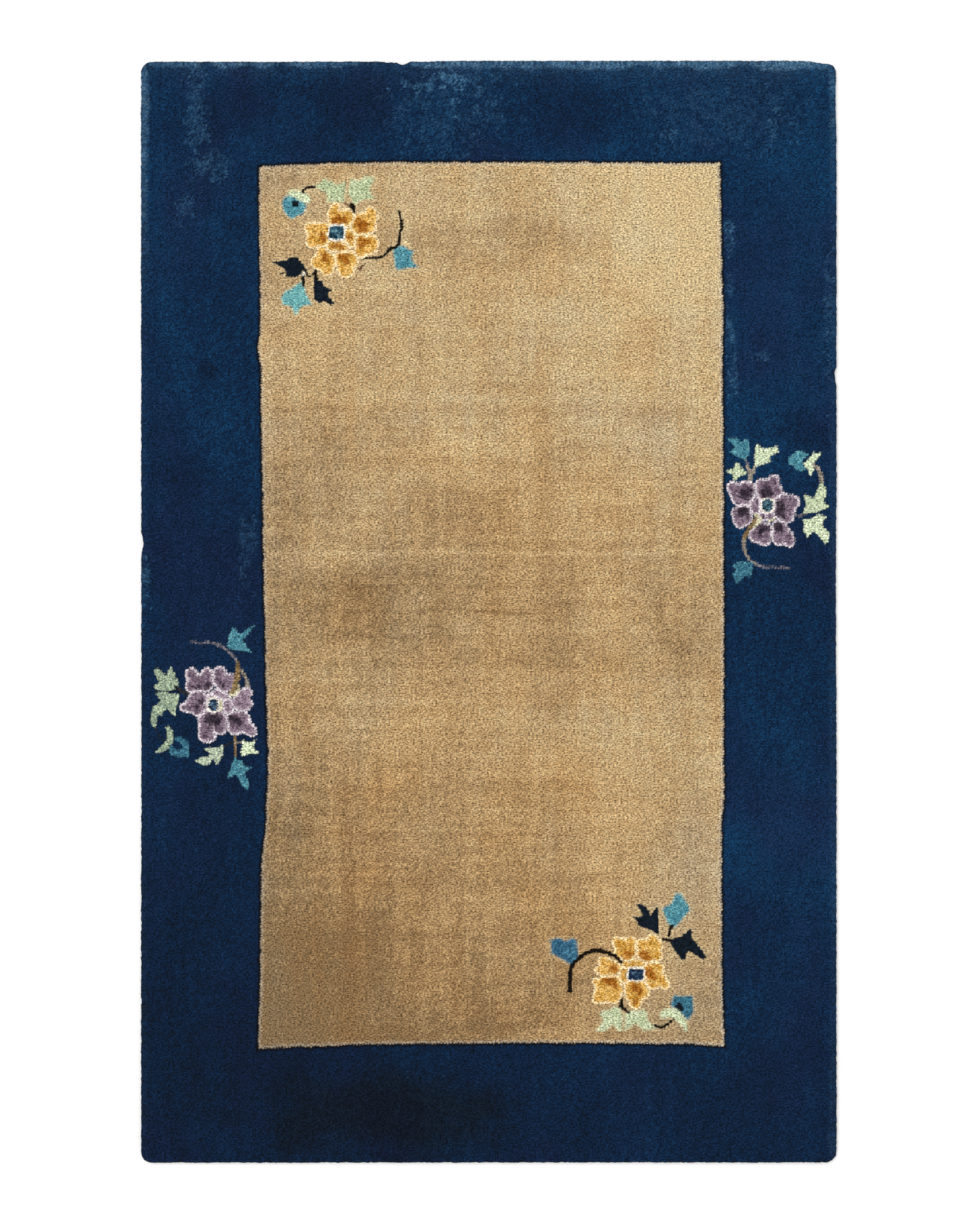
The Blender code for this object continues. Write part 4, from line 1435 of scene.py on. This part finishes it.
@dataclass(frozen=True)
class ClippedWool:
    """Hand-spun wool, knotted and clipped flush, so that the eye sees the cut ends of the yarn.

    The ends stand in rows and catch the light one by one, which gives a matt, grainy surface with no gloss
    but a faint bloom at a low angle.

    Attributes:
        name: The material's name.
        tuft_across_mm: The cut tuft's width across the rug.
        tuft_along_mm: Its width along the rug, a little less, because the rows are beaten down tight.
        tuft_painted_shade_contrast: Painted light and shade: how much lighter the tufts' tips and darker their
            hollows are.
        fibre_mm: Clumps of fibres. A fibre is 0.03 mm, far too fine to show, so they are drawn coarser.
        fibre_painted_shade_contrast: Painted light and shade: how much lighter and darker the clumps are.
        painted_light_back: Painted shade: the share of light that comes out again from between the cut ends.
        relief: How far the tufts stand proud, in metres.
    """

    name: str = "clipped_wool_pile"
    tuft_across_mm: float = 2.7
    tuft_along_mm: float = 1.9
    tuft_painted_shade_contrast: float = 3.1
    fibre_mm: float = 0.8
    fibre_painted_shade_contrast: float = 0.9
    painted_light_back: float = 0.85
    relief: float = 0.0008

    def material(self) -> bpy.types.Material:
        """Return the material, which takes its dye from the mesh's wool_dye_and_painted_shade colours."""
        material, tree, shader = new_material(self.name)
        dye = add_node(tree, "ShaderNodeAttribute", {"attribute_name": "wool_dye_and_painted_shade"})
        place = add_node(tree, "ShaderNodeTexCoord")
        tuft_size = (1000 / self.tuft_across_mm, 1000 / self.tuft_along_mm, 1000 / self.tuft_across_mm)
        tuft_place = add_node(tree, "ShaderNodeMapping", {"vector_type": "POINT"}, {"Scale": tuft_size},
                              {"Vector": place.outputs["Object"]})
        tufts = add_node(tree, "ShaderNodeTexNoise", values={"Scale": 1.0, "Detail": 1.0, "Roughness": 0.5},
                         links={"Vector": tuft_place.outputs["Vector"]})
        fibres = add_node(tree, "ShaderNodeTexNoise",
                          values={"Scale": 1000 / self.fibre_mm, "Detail": 2.0, "Roughness": 0.6},
                          links={"Vector": place.outputs["Object"]})
        # Painted light and shade: the tones follow the bump, lighter on the tips, darker in the hollows.
        tuft_painted_shade = self.tone(tree, tufts, self.tuft_painted_shade_contrast, self.painted_light_back)
        fibre_painted_shade = self.tone(tree, fibres, self.fibre_painted_shade_contrast, 1.0)
        tone = add_node(tree, "ShaderNodeMath", {"operation": "MULTIPLY"},
                        links={0: tuft_painted_shade.outputs[0], 1: fibre_painted_shade.outputs[0]})
        colour = add_node(tree, "ShaderNodeVectorMath", {"operation": "SCALE"},
                          links={"Vector": dye.outputs["Color"], "Scale": tone.outputs[0]})
        tree.links.new(colour.outputs["Vector"], shader.inputs["Base Color"])
        height = add_node(tree, "ShaderNodeMath", {"operation": "ADD"},
                          links={0: tufts.outputs["Fac"], 1: fibres.outputs["Fac"]})
        bump = add_node(tree, "ShaderNodeBump", values={"Strength": 0.5, "Distance": self.relief},
                        links={"Height": height.outputs[0]})
        tree.links.new(bump.outputs["Normal"], shader.inputs["Normal"])
        shader.inputs["Roughness"].default_value = 0.92
        shader.inputs["Specular IOR Level"].default_value = 0.06
        shader.inputs["Sheen Weight"].default_value = 0.04
        shader.inputs["Sheen Roughness"].default_value = 0.5
        return material

    @staticmethod
    def tone(tree: bpy.types.NodeTree, noise: bpy.types.Node, contrast: float,
             middle: float) -> bpy.types.Node:
        """Turn a noise into a tone.

        Args:
            tree: The node tree.
            noise: The noise node, whose values lie round 0.5.
            contrast: How far the tone departs from its middle, as a share of it, for each unit of noise.
            middle: The tone's middle.

        Returns:
            The node that gives the tone.
        """
        return add_node(tree, "ShaderNodeMath", {"operation": "MULTIPLY_ADD"},
                        {1: contrast * middle, 2: (1 - contrast / 2) * middle}, {0: noise.outputs["Fac"]})


@dataclass(frozen=True)
class WovenBack:
    """The back of a knotted rug: flat loops of wool held between cotton wefts.

    Each knot shows as a small flat bead, between fine pale lines of cotton, so the design reads from below.

    Attributes:
        name: The material's name.
        knot_mm: The knots' spacing.
        cotton: The sRGB colour of the cotton wefts.
    """

    name: str = "woven_wool_and_cotton_back"
    knot_mm: float = 3.93
    cotton: str = "#a89c84"

    def material(self) -> bpy.types.Material:
        """Return the material, which takes its dye from the mesh's wool_dye_and_painted_shade colours."""
        material, tree, shader = new_material(self.name)
        dye = add_node(tree, "ShaderNodeAttribute", {"attribute_name": "wool_dye_and_painted_shade"})
        place = add_node(tree, "ShaderNodeTexCoord")
        wave_scale = 1000 / self.knot_mm / 20 * math.pi * 2
        wefts, warps = (add_node(tree, "ShaderNodeTexWave", {"bands_direction": way, "wave_profile": "SIN"},
                                 {"Scale": wave_scale, "Distortion": 0.6, "Detail": 1.0},
                                 {"Vector": place.outputs["Object"]}) for way in ("Y", "X"))
        weft_line = add_node(tree, "ShaderNodeMapRange",
                             values={"From Min": 0.12, "From Max": 0.0, "To Min": 0.0, "To Max": 0.55},
                             links={"Value": wefts.outputs["Fac"]})
        colour = add_node(tree, "ShaderNodeMix", {"data_type": "RGBA"},
                          {"B": (*linear(self.cotton), 1.0)},
                          {"Factor": weft_line.outputs["Result"], "A": dye.outputs["Color"]})
        tree.links.new(colour.outputs[2], shader.inputs["Base Color"])
        beads = add_node(tree, "ShaderNodeMath", {"operation": "MULTIPLY"},
                         links={0: wefts.outputs["Fac"], 1: warps.outputs["Fac"]})
        bump = add_node(tree, "ShaderNodeBump", values={"Strength": 0.6, "Distance": 0.0006},
                        links={"Height": beads.outputs[0]})
        tree.links.new(bump.outputs["Normal"], shader.inputs["Normal"])
        shader.inputs["Roughness"].default_value = 0.85
        shader.inputs["Specular IOR Level"].default_value = 0.15
        return material


@dataclass(frozen=True)
class SeamlessPaper:
    """Matt white background paper, which gives the studio floor its even, pale look.

    Attributes:
        name: The material's name.
        colour: Its sRGB colour.
        tooth_mm: The paper's tooth.
    """

    name: str = "seamless_paper"
    colour: str = "#fbfbfa"
    tooth_mm: float = 1.5

    def material(self) -> bpy.types.Material:
        """Return the material."""
        material, tree, shader = new_material(self.name)
        place = add_node(tree, "ShaderNodeTexCoord")
        tooth = add_node(tree, "ShaderNodeTexNoise", values={"Scale": 1000 / self.tooth_mm, "Detail": 2.0},
                         links={"Vector": place.outputs["Object"]})
        bump = add_node(tree, "ShaderNodeBump", values={"Strength": 0.1, "Distance": 0.0001},
                        links={"Height": tooth.outputs["Fac"]})
        tree.links.new(bump.outputs["Normal"], shader.inputs["Normal"])
        shader.inputs["Base Color"].default_value = (*linear(self.colour), 1.0)
        shader.inputs["Roughness"].default_value = 0.9
        shader.inputs["Specular IOR Level"].default_value = 0.2
        return material


# ---------------------------------------------------------------------------------------------------------
# Meshes
# ---------------------------------------------------------------------------------------------------------

def face_corners(left: np.ndarray, low: np.ndarray) -> tuple[np.ndarray, np.ndarray]:
    """Return the columns and the rows of the corners of unit faces, clockwise from bottom left."""
    return (np.stack([left, left, left + 1, left + 1], axis=-1),
            np.stack([low, low + 1, low + 1, low], axis=-1))


def add_piece(name: str, points: np.ndarray, quads: np.ndarray, dyes: np.ndarray, normals: np.ndarray | None,
              flat: np.ndarray, material: bpy.types.Material) -> bpy.types.Object:
    """Make one piece of the rug as a mesh object that stands for the CAD rug.

    Args:
        name: The piece's name.
        points: The vertices, in metres, one row each.
        quads: The four vertices of each face, one row each.
        dyes: Each vertex's linear colour.
        normals: Each vertex's normal, or None to work them out from the faces.
        flat: Where each corner of each face lies on the flattened piece, from 0 to 1.
        material: The piece's material.

    Returns:
        The new object.
    """
    used, quads = np.unique(quads, return_inverse=True)
    quads = quads.reshape(-1, 4)
    points, dyes = points[used], dyes[used]
    mesh = bpy.data.meshes.new(name)
    mesh.vertices.add(len(points))
    mesh.vertices.foreach_set("co", points.astype(np.float32).ravel())
    mesh.loops.add(quads.size)
    mesh.loops.foreach_set("vertex_index", quads.astype(np.int32).ravel())
    mesh.polygons.add(len(quads))
    mesh.polygons.foreach_set("loop_start", np.arange(len(quads), dtype=np.int32) * 4)
    mesh.update(calc_edges=True)
    mesh.polygons.foreach_set("use_smooth", np.ones(len(quads), dtype=bool))
    # The vertex colours hold the wool's dyes and the painted shade of the rim and the carved groove.
    layer = mesh.color_attributes.new("wool_dye_and_painted_shade", "FLOAT_COLOR", "POINT")
    layer.data.foreach_set("color", np.column_stack([dyes, np.ones(len(dyes))]).astype(np.float32).ravel())
    layout = mesh.uv_layers.new(name="OFBake")
    layout.uv.foreach_set("vector", flat.astype(np.float32).ravel())
    if normals is not None:
        mesh.normals_split_custom_set_from_vertices(normals[used])
    mesh.materials.append(material)
    piece = bpy.data.objects.new(name, mesh)
    bpy.context.scene.collection.objects.link(piece)
    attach(piece, "root")
    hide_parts("rug")
    log.info("%s: %d triangles", name, 2 * len(quads))
    return piece


def unit(vectors: np.ndarray) -> np.ndarray:
    """Return vectors at length 1."""
    return vectors / np.maximum(np.linalg.norm(vectors, axis=-1, keepdims=True), 1e-12)


def cross_grid_normals(points: np.ndarray) -> np.ndarray:
    """Return the normals inside a grid of points, from each point's four neighbours.

    Args:
        points: The points, by column and row, with one more all round than the result has.

    Returns:
        The normals, with one column and row less at each side.
    """
    return unit(np.cross(points[2:, 1:-1] - points[:-2, 1:-1], points[1:-1, 2:] - points[1:-1, :-2]))


@dataclass
class PileMeshes:
    """The pile as meshes: four long strips, and a finer panel for each spray.

    A knot is two quads square in plain ground, and four where a motif or the carved line needs it.

    Attributes:
        pile: The pile's colours and heights.
        strips: How many strips the plain pile is built in, to keep each one light.
        near_motif: How much of the clipping along a motif's edge makes a knot fine, from 0 to 1.
    """

    pile: Pile
    strips: int = 4
    near_motif: float = 0.03
    points: np.ndarray = field(init=False)
    normals: np.ndarray = field(init=False)
    fine: np.ndarray = field(init=False)

    def __post_init__(self) -> None:
        """Place every point and sort the knots into fine and plain ones."""
        grid = self.pile.grid
        self.points = np.stack([grid.x, grid.y, self.pile.z], axis=-1)
        self.fine = self.fine_knots()
        self.normals = self.smooth_normals()
        self.close_seams()

    def fine_knots(self) -> np.ndarray:
        """Return which knots are built fine."""
        grid = self.pile.grid
        steps = grid.steps
        columns, rows = grid.across, grid.along
        near_edge = 0.0035
        marked = (self.pile.carving > self.near_motif) | (np.abs(grid.out_of_field) < near_edge)
        marked |= self.pile.motif_cover
        fine = np.zeros((columns, rows), dtype=bool)
        for column in range(steps + 1):
            for row in range(steps + 1):
                corner = marked[column:column + columns * steps:steps, row:row + rows * steps:steps]
                fine |= corner[:columns, :rows]
        fine[:1], fine[-1:], fine[:, :1], fine[:, -1:] = False, False, False, False
        return fine

    def smooth_normals(self) -> np.ndarray:
        """Return each point's normal, with the coarse grid's own where only it reaches."""
        grid = self.pile.grid
        normals = np.zeros_like(self.points)
        normals[1:-1, 1:-1] = cross_grid_normals(self.points)
        coarse = self.points[::2, ::2]
        outward = np.concatenate([grid.outward[::2, ::2], np.zeros((*coarse.shape[:2], 1))], axis=-1)
        beyond = coarse + outward * (PILE_INSET - RIM_SECTION[1][0])
        beyond[..., 2] = RIM_SECTION[1][1]
        padded = np.zeros((coarse.shape[0] + 2, coarse.shape[1] + 2, 3))
        padded[1:-1, 1:-1] = coarse
        padded[0, 1:-1], padded[-1, 1:-1] = beyond[0], beyond[-1]
        padded[1:-1, 0], padded[1:-1, -1] = beyond[:, 0], beyond[:, -1]
        coarse_normals = cross_grid_normals(padded)
        plain = self.touched_by_plain()[::2, ::2]
        even = normals[::2, ::2]
        even[plain] = coarse_normals[plain]
        return normals

    def touched_by_plain(self) -> np.ndarray:
        """Return which points lie on or in a plain knot."""
        steps = self.pile.grid.steps
        touched = np.zeros(self.pile.grid.x.shape, dtype=bool)
        plain = np.kron(~self.fine, np.ones((steps, steps), dtype=bool))
        touched[:-1, :-1] |= plain
        touched[1:, :-1] |= plain
        touched[:-1, 1:] |= plain
        touched[1:, 1:] |= plain
        return touched

    def close_seams(self) -> None:
        """Put the fine points that lie on a plain knot's side halfway between that side's own points."""
        steps = self.pile.grid.steps
        touched = self.touched_by_plain()
        for values in (self.points, self.normals, self.pile.colour):
            columns, rows = touched.shape
            odd, line = np.ix_(np.arange(1, columns - 1, 2), np.arange(0, rows, steps))
            middle = (values[odd - 1, line] + values[odd + 1, line]) / 2
            values[odd, line] = np.where(touched[odd, line][..., None], middle, values[odd, line])
            line, odd = np.ix_(np.arange(0, columns, steps), np.arange(1, rows - 1, 2))
            middle = (values[line, odd - 1] + values[line, odd + 1]) / 2
            values[line, odd] = np.where(touched[line, odd][..., None], middle, values[line, odd])
        self.normals = unit(self.normals)

    def quads(self, knots: np.ndarray) -> tuple[np.ndarray, np.ndarray]:
        """Return the faces of some of the knots.

        Args:
            knots: Which knots, by column and row.

        Returns:
            Each face's corners as grid columns and as grid rows.
        """
        steps = self.pile.grid.steps
        corner_columns, corner_rows = [], []
        for chosen, stride in ((knots & self.fine, 1), (knots & ~self.fine, 2)):
            knot_column, knot_row = np.nonzero(chosen)
            for column in range(0, steps, stride):
                for row in range(0, steps, stride):
                    left, low = knot_column * steps + column, knot_row * steps + row
                    right, high = left + stride, low + stride
                    corner_columns.append(np.stack([left, right, right, left], axis=-1))
                    corner_rows.append(np.stack([low, low, high, high], axis=-1))
        return np.concatenate(corner_columns), np.concatenate(corner_rows)

    def add(self, name: str, knots: np.ndarray, sections: int,
            material: bpy.types.Material) -> bpy.types.Object:
        """Build one piece of pile.

        Args:
            name: The piece's name.
            knots: Which knots it has, by column and row.
            sections: How many lengths the flattened piece is cut into, to lie side by side.
            material: The piece's material.

        Returns:
            The new object.
        """
        columns, rows = self.quads(knots)
        corners = columns * self.points.shape[1] + rows
        first_column, last_column = columns.min(), columns.max()
        first_row, last_row = rows.min(), rows.max()
        length = -(-(last_row - first_row) // sections)
        section = np.minimum((rows.min(axis=1) - first_row) // length, sections - 1)[:, None]
        gap = 0.02 * length
        width = (last_column - first_column) + gap
        span = max(width * sections, length + gap)
        flat_x = (columns - first_column + section * width + gap / 2) / span
        flat_y = (rows - first_row - section * length + gap / 2) / span
        flat = np.stack([flat_x, flat_y], axis=-1)
        return add_piece(name, self.points.reshape(-1, 3), corners, self.pile.colour.reshape(-1, 3),
                         self.normals.reshape(-1, 3), flat, material)

    def build(self, material: bpy.types.Material) -> list[bpy.types.Object]:
        """Build all the pile."""
        grid = self.pile.grid
        in_spray = np.zeros(self.fine.shape, dtype=bool)
        pieces = []
        for spray in SPRAYS:
            columns, rows = self.pile.window(spray)
            steps = grid.steps
            knots = np.zeros(self.fine.shape, dtype=bool)
            knots[columns[0] // steps:columns[1] // steps, rows[0] // steps:rows[1] // steps] = True
            knots &= self.fine
            knots[grid.field_columns[0] - 1:grid.field_columns[0] + 1] = False
            knots[grid.field_columns[1] - 1:grid.field_columns[1] + 1] = False
            in_spray |= knots
            pieces.append(self.add(spray.name, knots, 1, material))
        bounds = np.linspace(0, grid.across, self.strips + 1).round().astype(int)
        for number, (start, end) in enumerate(zip(bounds, bounds[1:]), start=1):
            knots = ~in_spray
            knots[:start], knots[end:] = False, False
            pieces.append(self.add(f"pile_strip_{number}", knots, 3, material))
        return pieces


@dataclass
class Rim:
    """The rolled rim: the pile turns over and runs down to the overcast edge of the foundation.

    Attributes:
        meshes: The pile that the rim joins.
        tuft: How far single tufts stand out or in.
        rim_painted_shade: Painted shade: how much darker the wool is down at the foundation.
    """

    meshes: PileMeshes
    tuft: float = 0.0005
    rim_painted_shade: float = 0.30

    def build(self, material: bpy.types.Material) -> list[bpy.types.Object]:
        """Build the rim's four sides.

        Args:
            material: The pile's material.

        Returns:
            The four objects.
        """
        columns, rows = self.stations()
        points, dyes, normals = self.rings(columns, rows)
        ring_count, station_count = points.shape[:2]
        across, along = self.meshes.pile.grid.across * 2, self.meshes.pile.grid.along * 2
        # Columns: the piece's name, its first station, how many stations it has.
        sides = (
            ("rim_bottom", 0, across),
            ("rim_right", across, along),
            ("rim_top", across + along, across),
            ("rim_left", 2 * across + along, along),
        )
        pieces = []
        for name, start, count in sides:
            place = np.arange(count * (ring_count - 1))
            station, ring = start + place // (ring_count - 1), place % (ring_count - 1)
            corner_station, corner_ring = face_corners(station, ring)
            quads = corner_ring * station_count + corner_station % station_count
            flat = self.flattened(station - start, ring, count, ring_count)
            pieces.append(add_piece(name, points.reshape(-1, 3), quads, dyes.reshape(-1, 3),
                                    normals.reshape(-1, 3), flat, material))
        return pieces

    def stations(self) -> tuple[np.ndarray, np.ndarray]:
        """Return the grid columns and rows of the pile's outer points, anticlockwise from bottom left."""
        last_column, last_row = (size - 1 for size in self.meshes.points.shape[:2])
        across, along = np.arange(0, last_column, 2), np.arange(0, last_row, 2)
        columns = np.concatenate([across, np.full(len(along), last_column), last_column - across,
                                  np.zeros(len(along), dtype=int)])
        rows = np.concatenate([np.zeros(len(across), dtype=int), along, np.full(len(across), last_row),
                               last_row - along])
        return columns, rows

    def rings(self, columns: np.ndarray, rows: np.ndarray) -> tuple[np.ndarray, np.ndarray, np.ndarray]:
        """Return the rim's points, colours and normals, from the pile's edge down to the underside.

        Args:
            columns: The grid column of each outer point of the pile.
            rows: Its grid row.

        Returns:
            The points, their linear colours and their normals, by ring and station.
        """
        grid = self.meshes.pile.grid
        edge = self.meshes.points[columns, rows]
        dye = self.meshes.pile.colour[columns, rows]
        outward = np.column_stack([grid.outward[columns, rows], np.zeros(len(columns))])
        run = np.concatenate([[0.0], np.cumsum(np.linalg.norm(np.diff(edge, axis=0), axis=1))])
        rings, dyes = [], []
        random = np.random.default_rng(71)
        last, ring_step, tuft_size = len(RIM_SECTION) - 1, 0.0013, (0.0039, 0.0026)
        for number, (inset, height) in enumerate(RIM_SECTION):
            down = np.full_like(run, number * ring_step)
            shaken = random.uniform(-0.6, 0.6, len(run))
            tufts = self.tuft * (patches(run, down, *tuft_size, 72) + shaken) * (0 < number < last)
            place = edge + outward * (PILE_INSET - inset + tufts)[:, None]
            share = number / last
            place[:, 2] = edge[:, 2] * (1 - share) ** 3 + height * (1 - (1 - share) ** 3) + 0.5 * tufts
            if number == last:
                place[:, 2] = 0.0
            rings.append(place)
            # Painted shade, darkest low on the rolled side, where the rim turns under.
            depth = 1 - self.rim_painted_shade * ease(np.array((share - 0.15) / 0.5))
            fleck = 1 + 0.25 * random.uniform(-1, 1, len(run))[:, None] * (number > 0)
            dyes.append(dye * depth * fleck)
        points = np.stack(rings)
        inner = self.meshes.points[np.clip(columns - 2 * np.sign(grid.outward[columns, rows, 0]).astype(int),
                                           0, self.meshes.points.shape[0] - 1),
                                   np.clip(rows - 2 * np.sign(grid.outward[columns, rows, 1]).astype(int),
                                           0, self.meshes.points.shape[1] - 1)]
        padded = np.concatenate([inner[None], points, points[-1:] - outward[None] * 0.001])
        padded = np.concatenate([padded[:, -1:], padded, padded[:, :1]], axis=1)
        normals = cross_grid_normals(padded)
        normals[0] = self.meshes.normals[columns, rows]
        return points, np.stack(dyes), normals

    @staticmethod
    def flattened(station: np.ndarray, ring: np.ndarray, count: int, rings: int) -> np.ndarray:
        """Lay a long, narrow side out flat as lengths side by side.

        Args:
            station: Each face's place along the side.
            ring: Each face's ring.
            count: How many faces the side has along it.
            rings: How many rings the rim has.

        Returns:
            Where each corner of each face lies, from 0 to 1.
        """
        lengths = 8
        step = -(-count // lengths)
        length = station // step
        left, low = station - length * step, ring + length * (rings + 1)
        columns, lows = face_corners(left, low)
        margin = 0.005
        places = np.stack([columns / step, lows / (lengths * (rings + 1))], axis=-1)
        return margin + (1 - 2 * margin) * places


@dataclass
class Foundation:
    """The woven back, which is all that shows from below: one cloth, laid flat.

    Attributes:
        meshes: The pile that it carries.
        stride: Grid steps to a face, which keeps all the rug's meshes under a million triangles.
        shade: How bright the wool is on the back, next to the pile.
    """

    meshes: PileMeshes
    stride: int = 6
    shade: float = 0.85

    def build(self, material: bpy.types.Material) -> bpy.types.Object:
        """Build the back, out to the rim's underside.

        Args:
            material: The back's material.

        Returns:
            The object.
        """
        grid = self.meshes.pile.grid
        last_column, last_row = (size - 1 for size in grid.x.shape)
        chosen = np.ix_(np.append(np.arange(0, last_column, self.stride), last_column),
                        np.append(np.arange(0, last_row, self.stride), last_row))
        outset = PILE_INSET - RIM_SECTION[-1][0]
        x = grid.x[chosen] + grid.outward[chosen][..., 0] * outset
        y = grid.y[chosen] + grid.outward[chosen][..., 1] * outset
        points = np.stack([x, y, np.zeros_like(x)], axis=-1)
        left, low = np.meshgrid(np.arange(x.shape[0] - 1), np.arange(x.shape[1] - 1), indexing="ij")
        columns, rows = face_corners(left.ravel(), low.ravel())
        count = x.shape[1]
        dyes = self.shade * self.meshes.pile.colour[chosen]
        return add_piece("woven_back", points.reshape(-1, 3), columns * count + rows, dyes.reshape(-1, 3), None,
                         np.stack([columns, rows], axis=-1) / count, material)


# ---------------------------------------------------------------------------------------------------------
# The studio
# ---------------------------------------------------------------------------------------------------------

@dataclass
class Studio:
    """A plain pale floor, soft light and a camera straight above the rug.

    Attributes:
        photo_width: The photograph's width, in pixels.
        photo_height: The photograph's height, in pixels.
        pixel: The size of one pixel at the rug.
        measured_height: The height it was measured at, between the rim's widest ring and the pile's top.
        rug_middle: The pixel at the rug's middle.
        lens_mm: The camera's lens.
        sensor_mm: The camera's sensor, on its longer side.
        floor_size: The floor's width and length.
        key_place: Where the large soft lamp hangs.
        key_size: Its width and length.
        key_watts: Its power.
        sky: The strength of the even light from all round.
    """

    photo_width: int = 979
    photo_height: int = 1224
    pixel: float = 0.001314
    measured_height: float = 0.0078
    rug_middle: tuple[float, float] = (488.8, 611.7)
    lens_mm: float = 85.0
    sensor_mm: float = 36.0
    floor_size: float = 12.0
    key_place: tuple[float, float, float] = (-0.9, 0.8, 5.0)
    key_size: float = 2.2
    key_watts: float = 108.0
    sky: float = 0.88

    def build(self) -> bpy.types.Object:
        """Build the studio.

        Returns:
            The floor.
        """
        floor = self.add_floor()
        self.add_light()
        self.add_camera()
        view = bpy.context.scene.view_settings
        view.view_transform = "Standard"
        view.look = "None"
        return floor

    def add_floor(self) -> bpy.types.Object:
        """Add the floor, just under the rug."""
        half = self.floor_size / 2
        under = -0.0002
        mesh = bpy.data.meshes.new("floor")
        corners = [(-half, -half, under), (half, -half, under), (half, half, under), (-half, half, under)]
        mesh.from_pydata(corners, [], [(0, 1, 2, 3)])
        mesh.materials.append(SeamlessPaper().material())
        floor = bpy.data.objects.new("floor", mesh)
        bpy.context.scene.collection.objects.link(floor)
        return floor

    def add_light(self) -> None:
        """Add the large lamp and the even light from all round."""
        lamp = bpy.data.lights.new("soft_lamp", "AREA")
        lamp.shape = "SQUARE"
        lamp.size = self.key_size
        lamp.energy = self.key_watts
        holder = bpy.data.objects.new("soft_lamp", lamp)
        holder.location = self.key_place
        holder.rotation_euler = (-Vector(self.key_place)).to_track_quat("-Z", "Y").to_euler()
        bpy.context.scene.collection.objects.link(holder)
        world = bpy.data.worlds.new("studio")
        world.use_nodes = True
        background = world.node_tree.nodes["Background"]
        background.inputs["Color"].default_value = (1.0, 1.0, 1.0, 1.0)
        background.inputs["Strength"].default_value = self.sky
        bpy.context.scene.world = world

    def add_camera(self) -> None:
        """Add the camera, straight above, so that the rug fills the frame as in the photograph."""
        camera = bpy.data.cameras.new("camera")
        camera.lens = self.lens_mm
        camera.sensor_width = self.sensor_mm
        frame_height = self.photo_height * self.pixel
        height = self.measured_height + frame_height * self.lens_mm / self.sensor_mm
        right = (self.photo_width / 2 - self.rug_middle[0]) * self.pixel
        up = (self.rug_middle[1] - self.photo_height / 2) * self.pixel
        holder = bpy.data.objects.new("camera", camera)
        holder.location = (right, up, height)
        camera.clip_end = 50.0
        bpy.context.scene.collection.objects.link(holder)
        bpy.context.scene.camera = holder


def main() -> None:
    """Build the rug and the studio round it."""
    logging.basicConfig(level=logging.INFO, format="%(message)s")
    grid = KnotGrid()
    log.info("knot grid: %d by %d knots", grid.across, grid.along)
    pile = Pile(grid)
    log.info("pile: %d points dyed", pile.z.size)
    meshes = PileMeshes(pile)
    wool = ClippedWool().material()
    pieces = meshes.build(wool)
    pieces += Rim(meshes).build(wool)
    back = Foundation(meshes).build(WovenBack().material())
    floor = Studio().build()
    log.info("studio: built")


def plain(box: tuple) -> list:
    """Return a box's corners as plain lists of numbers."""
    return [[float(value) for value in corner] for corner in box]


if __name__ == "__main__":
    main()
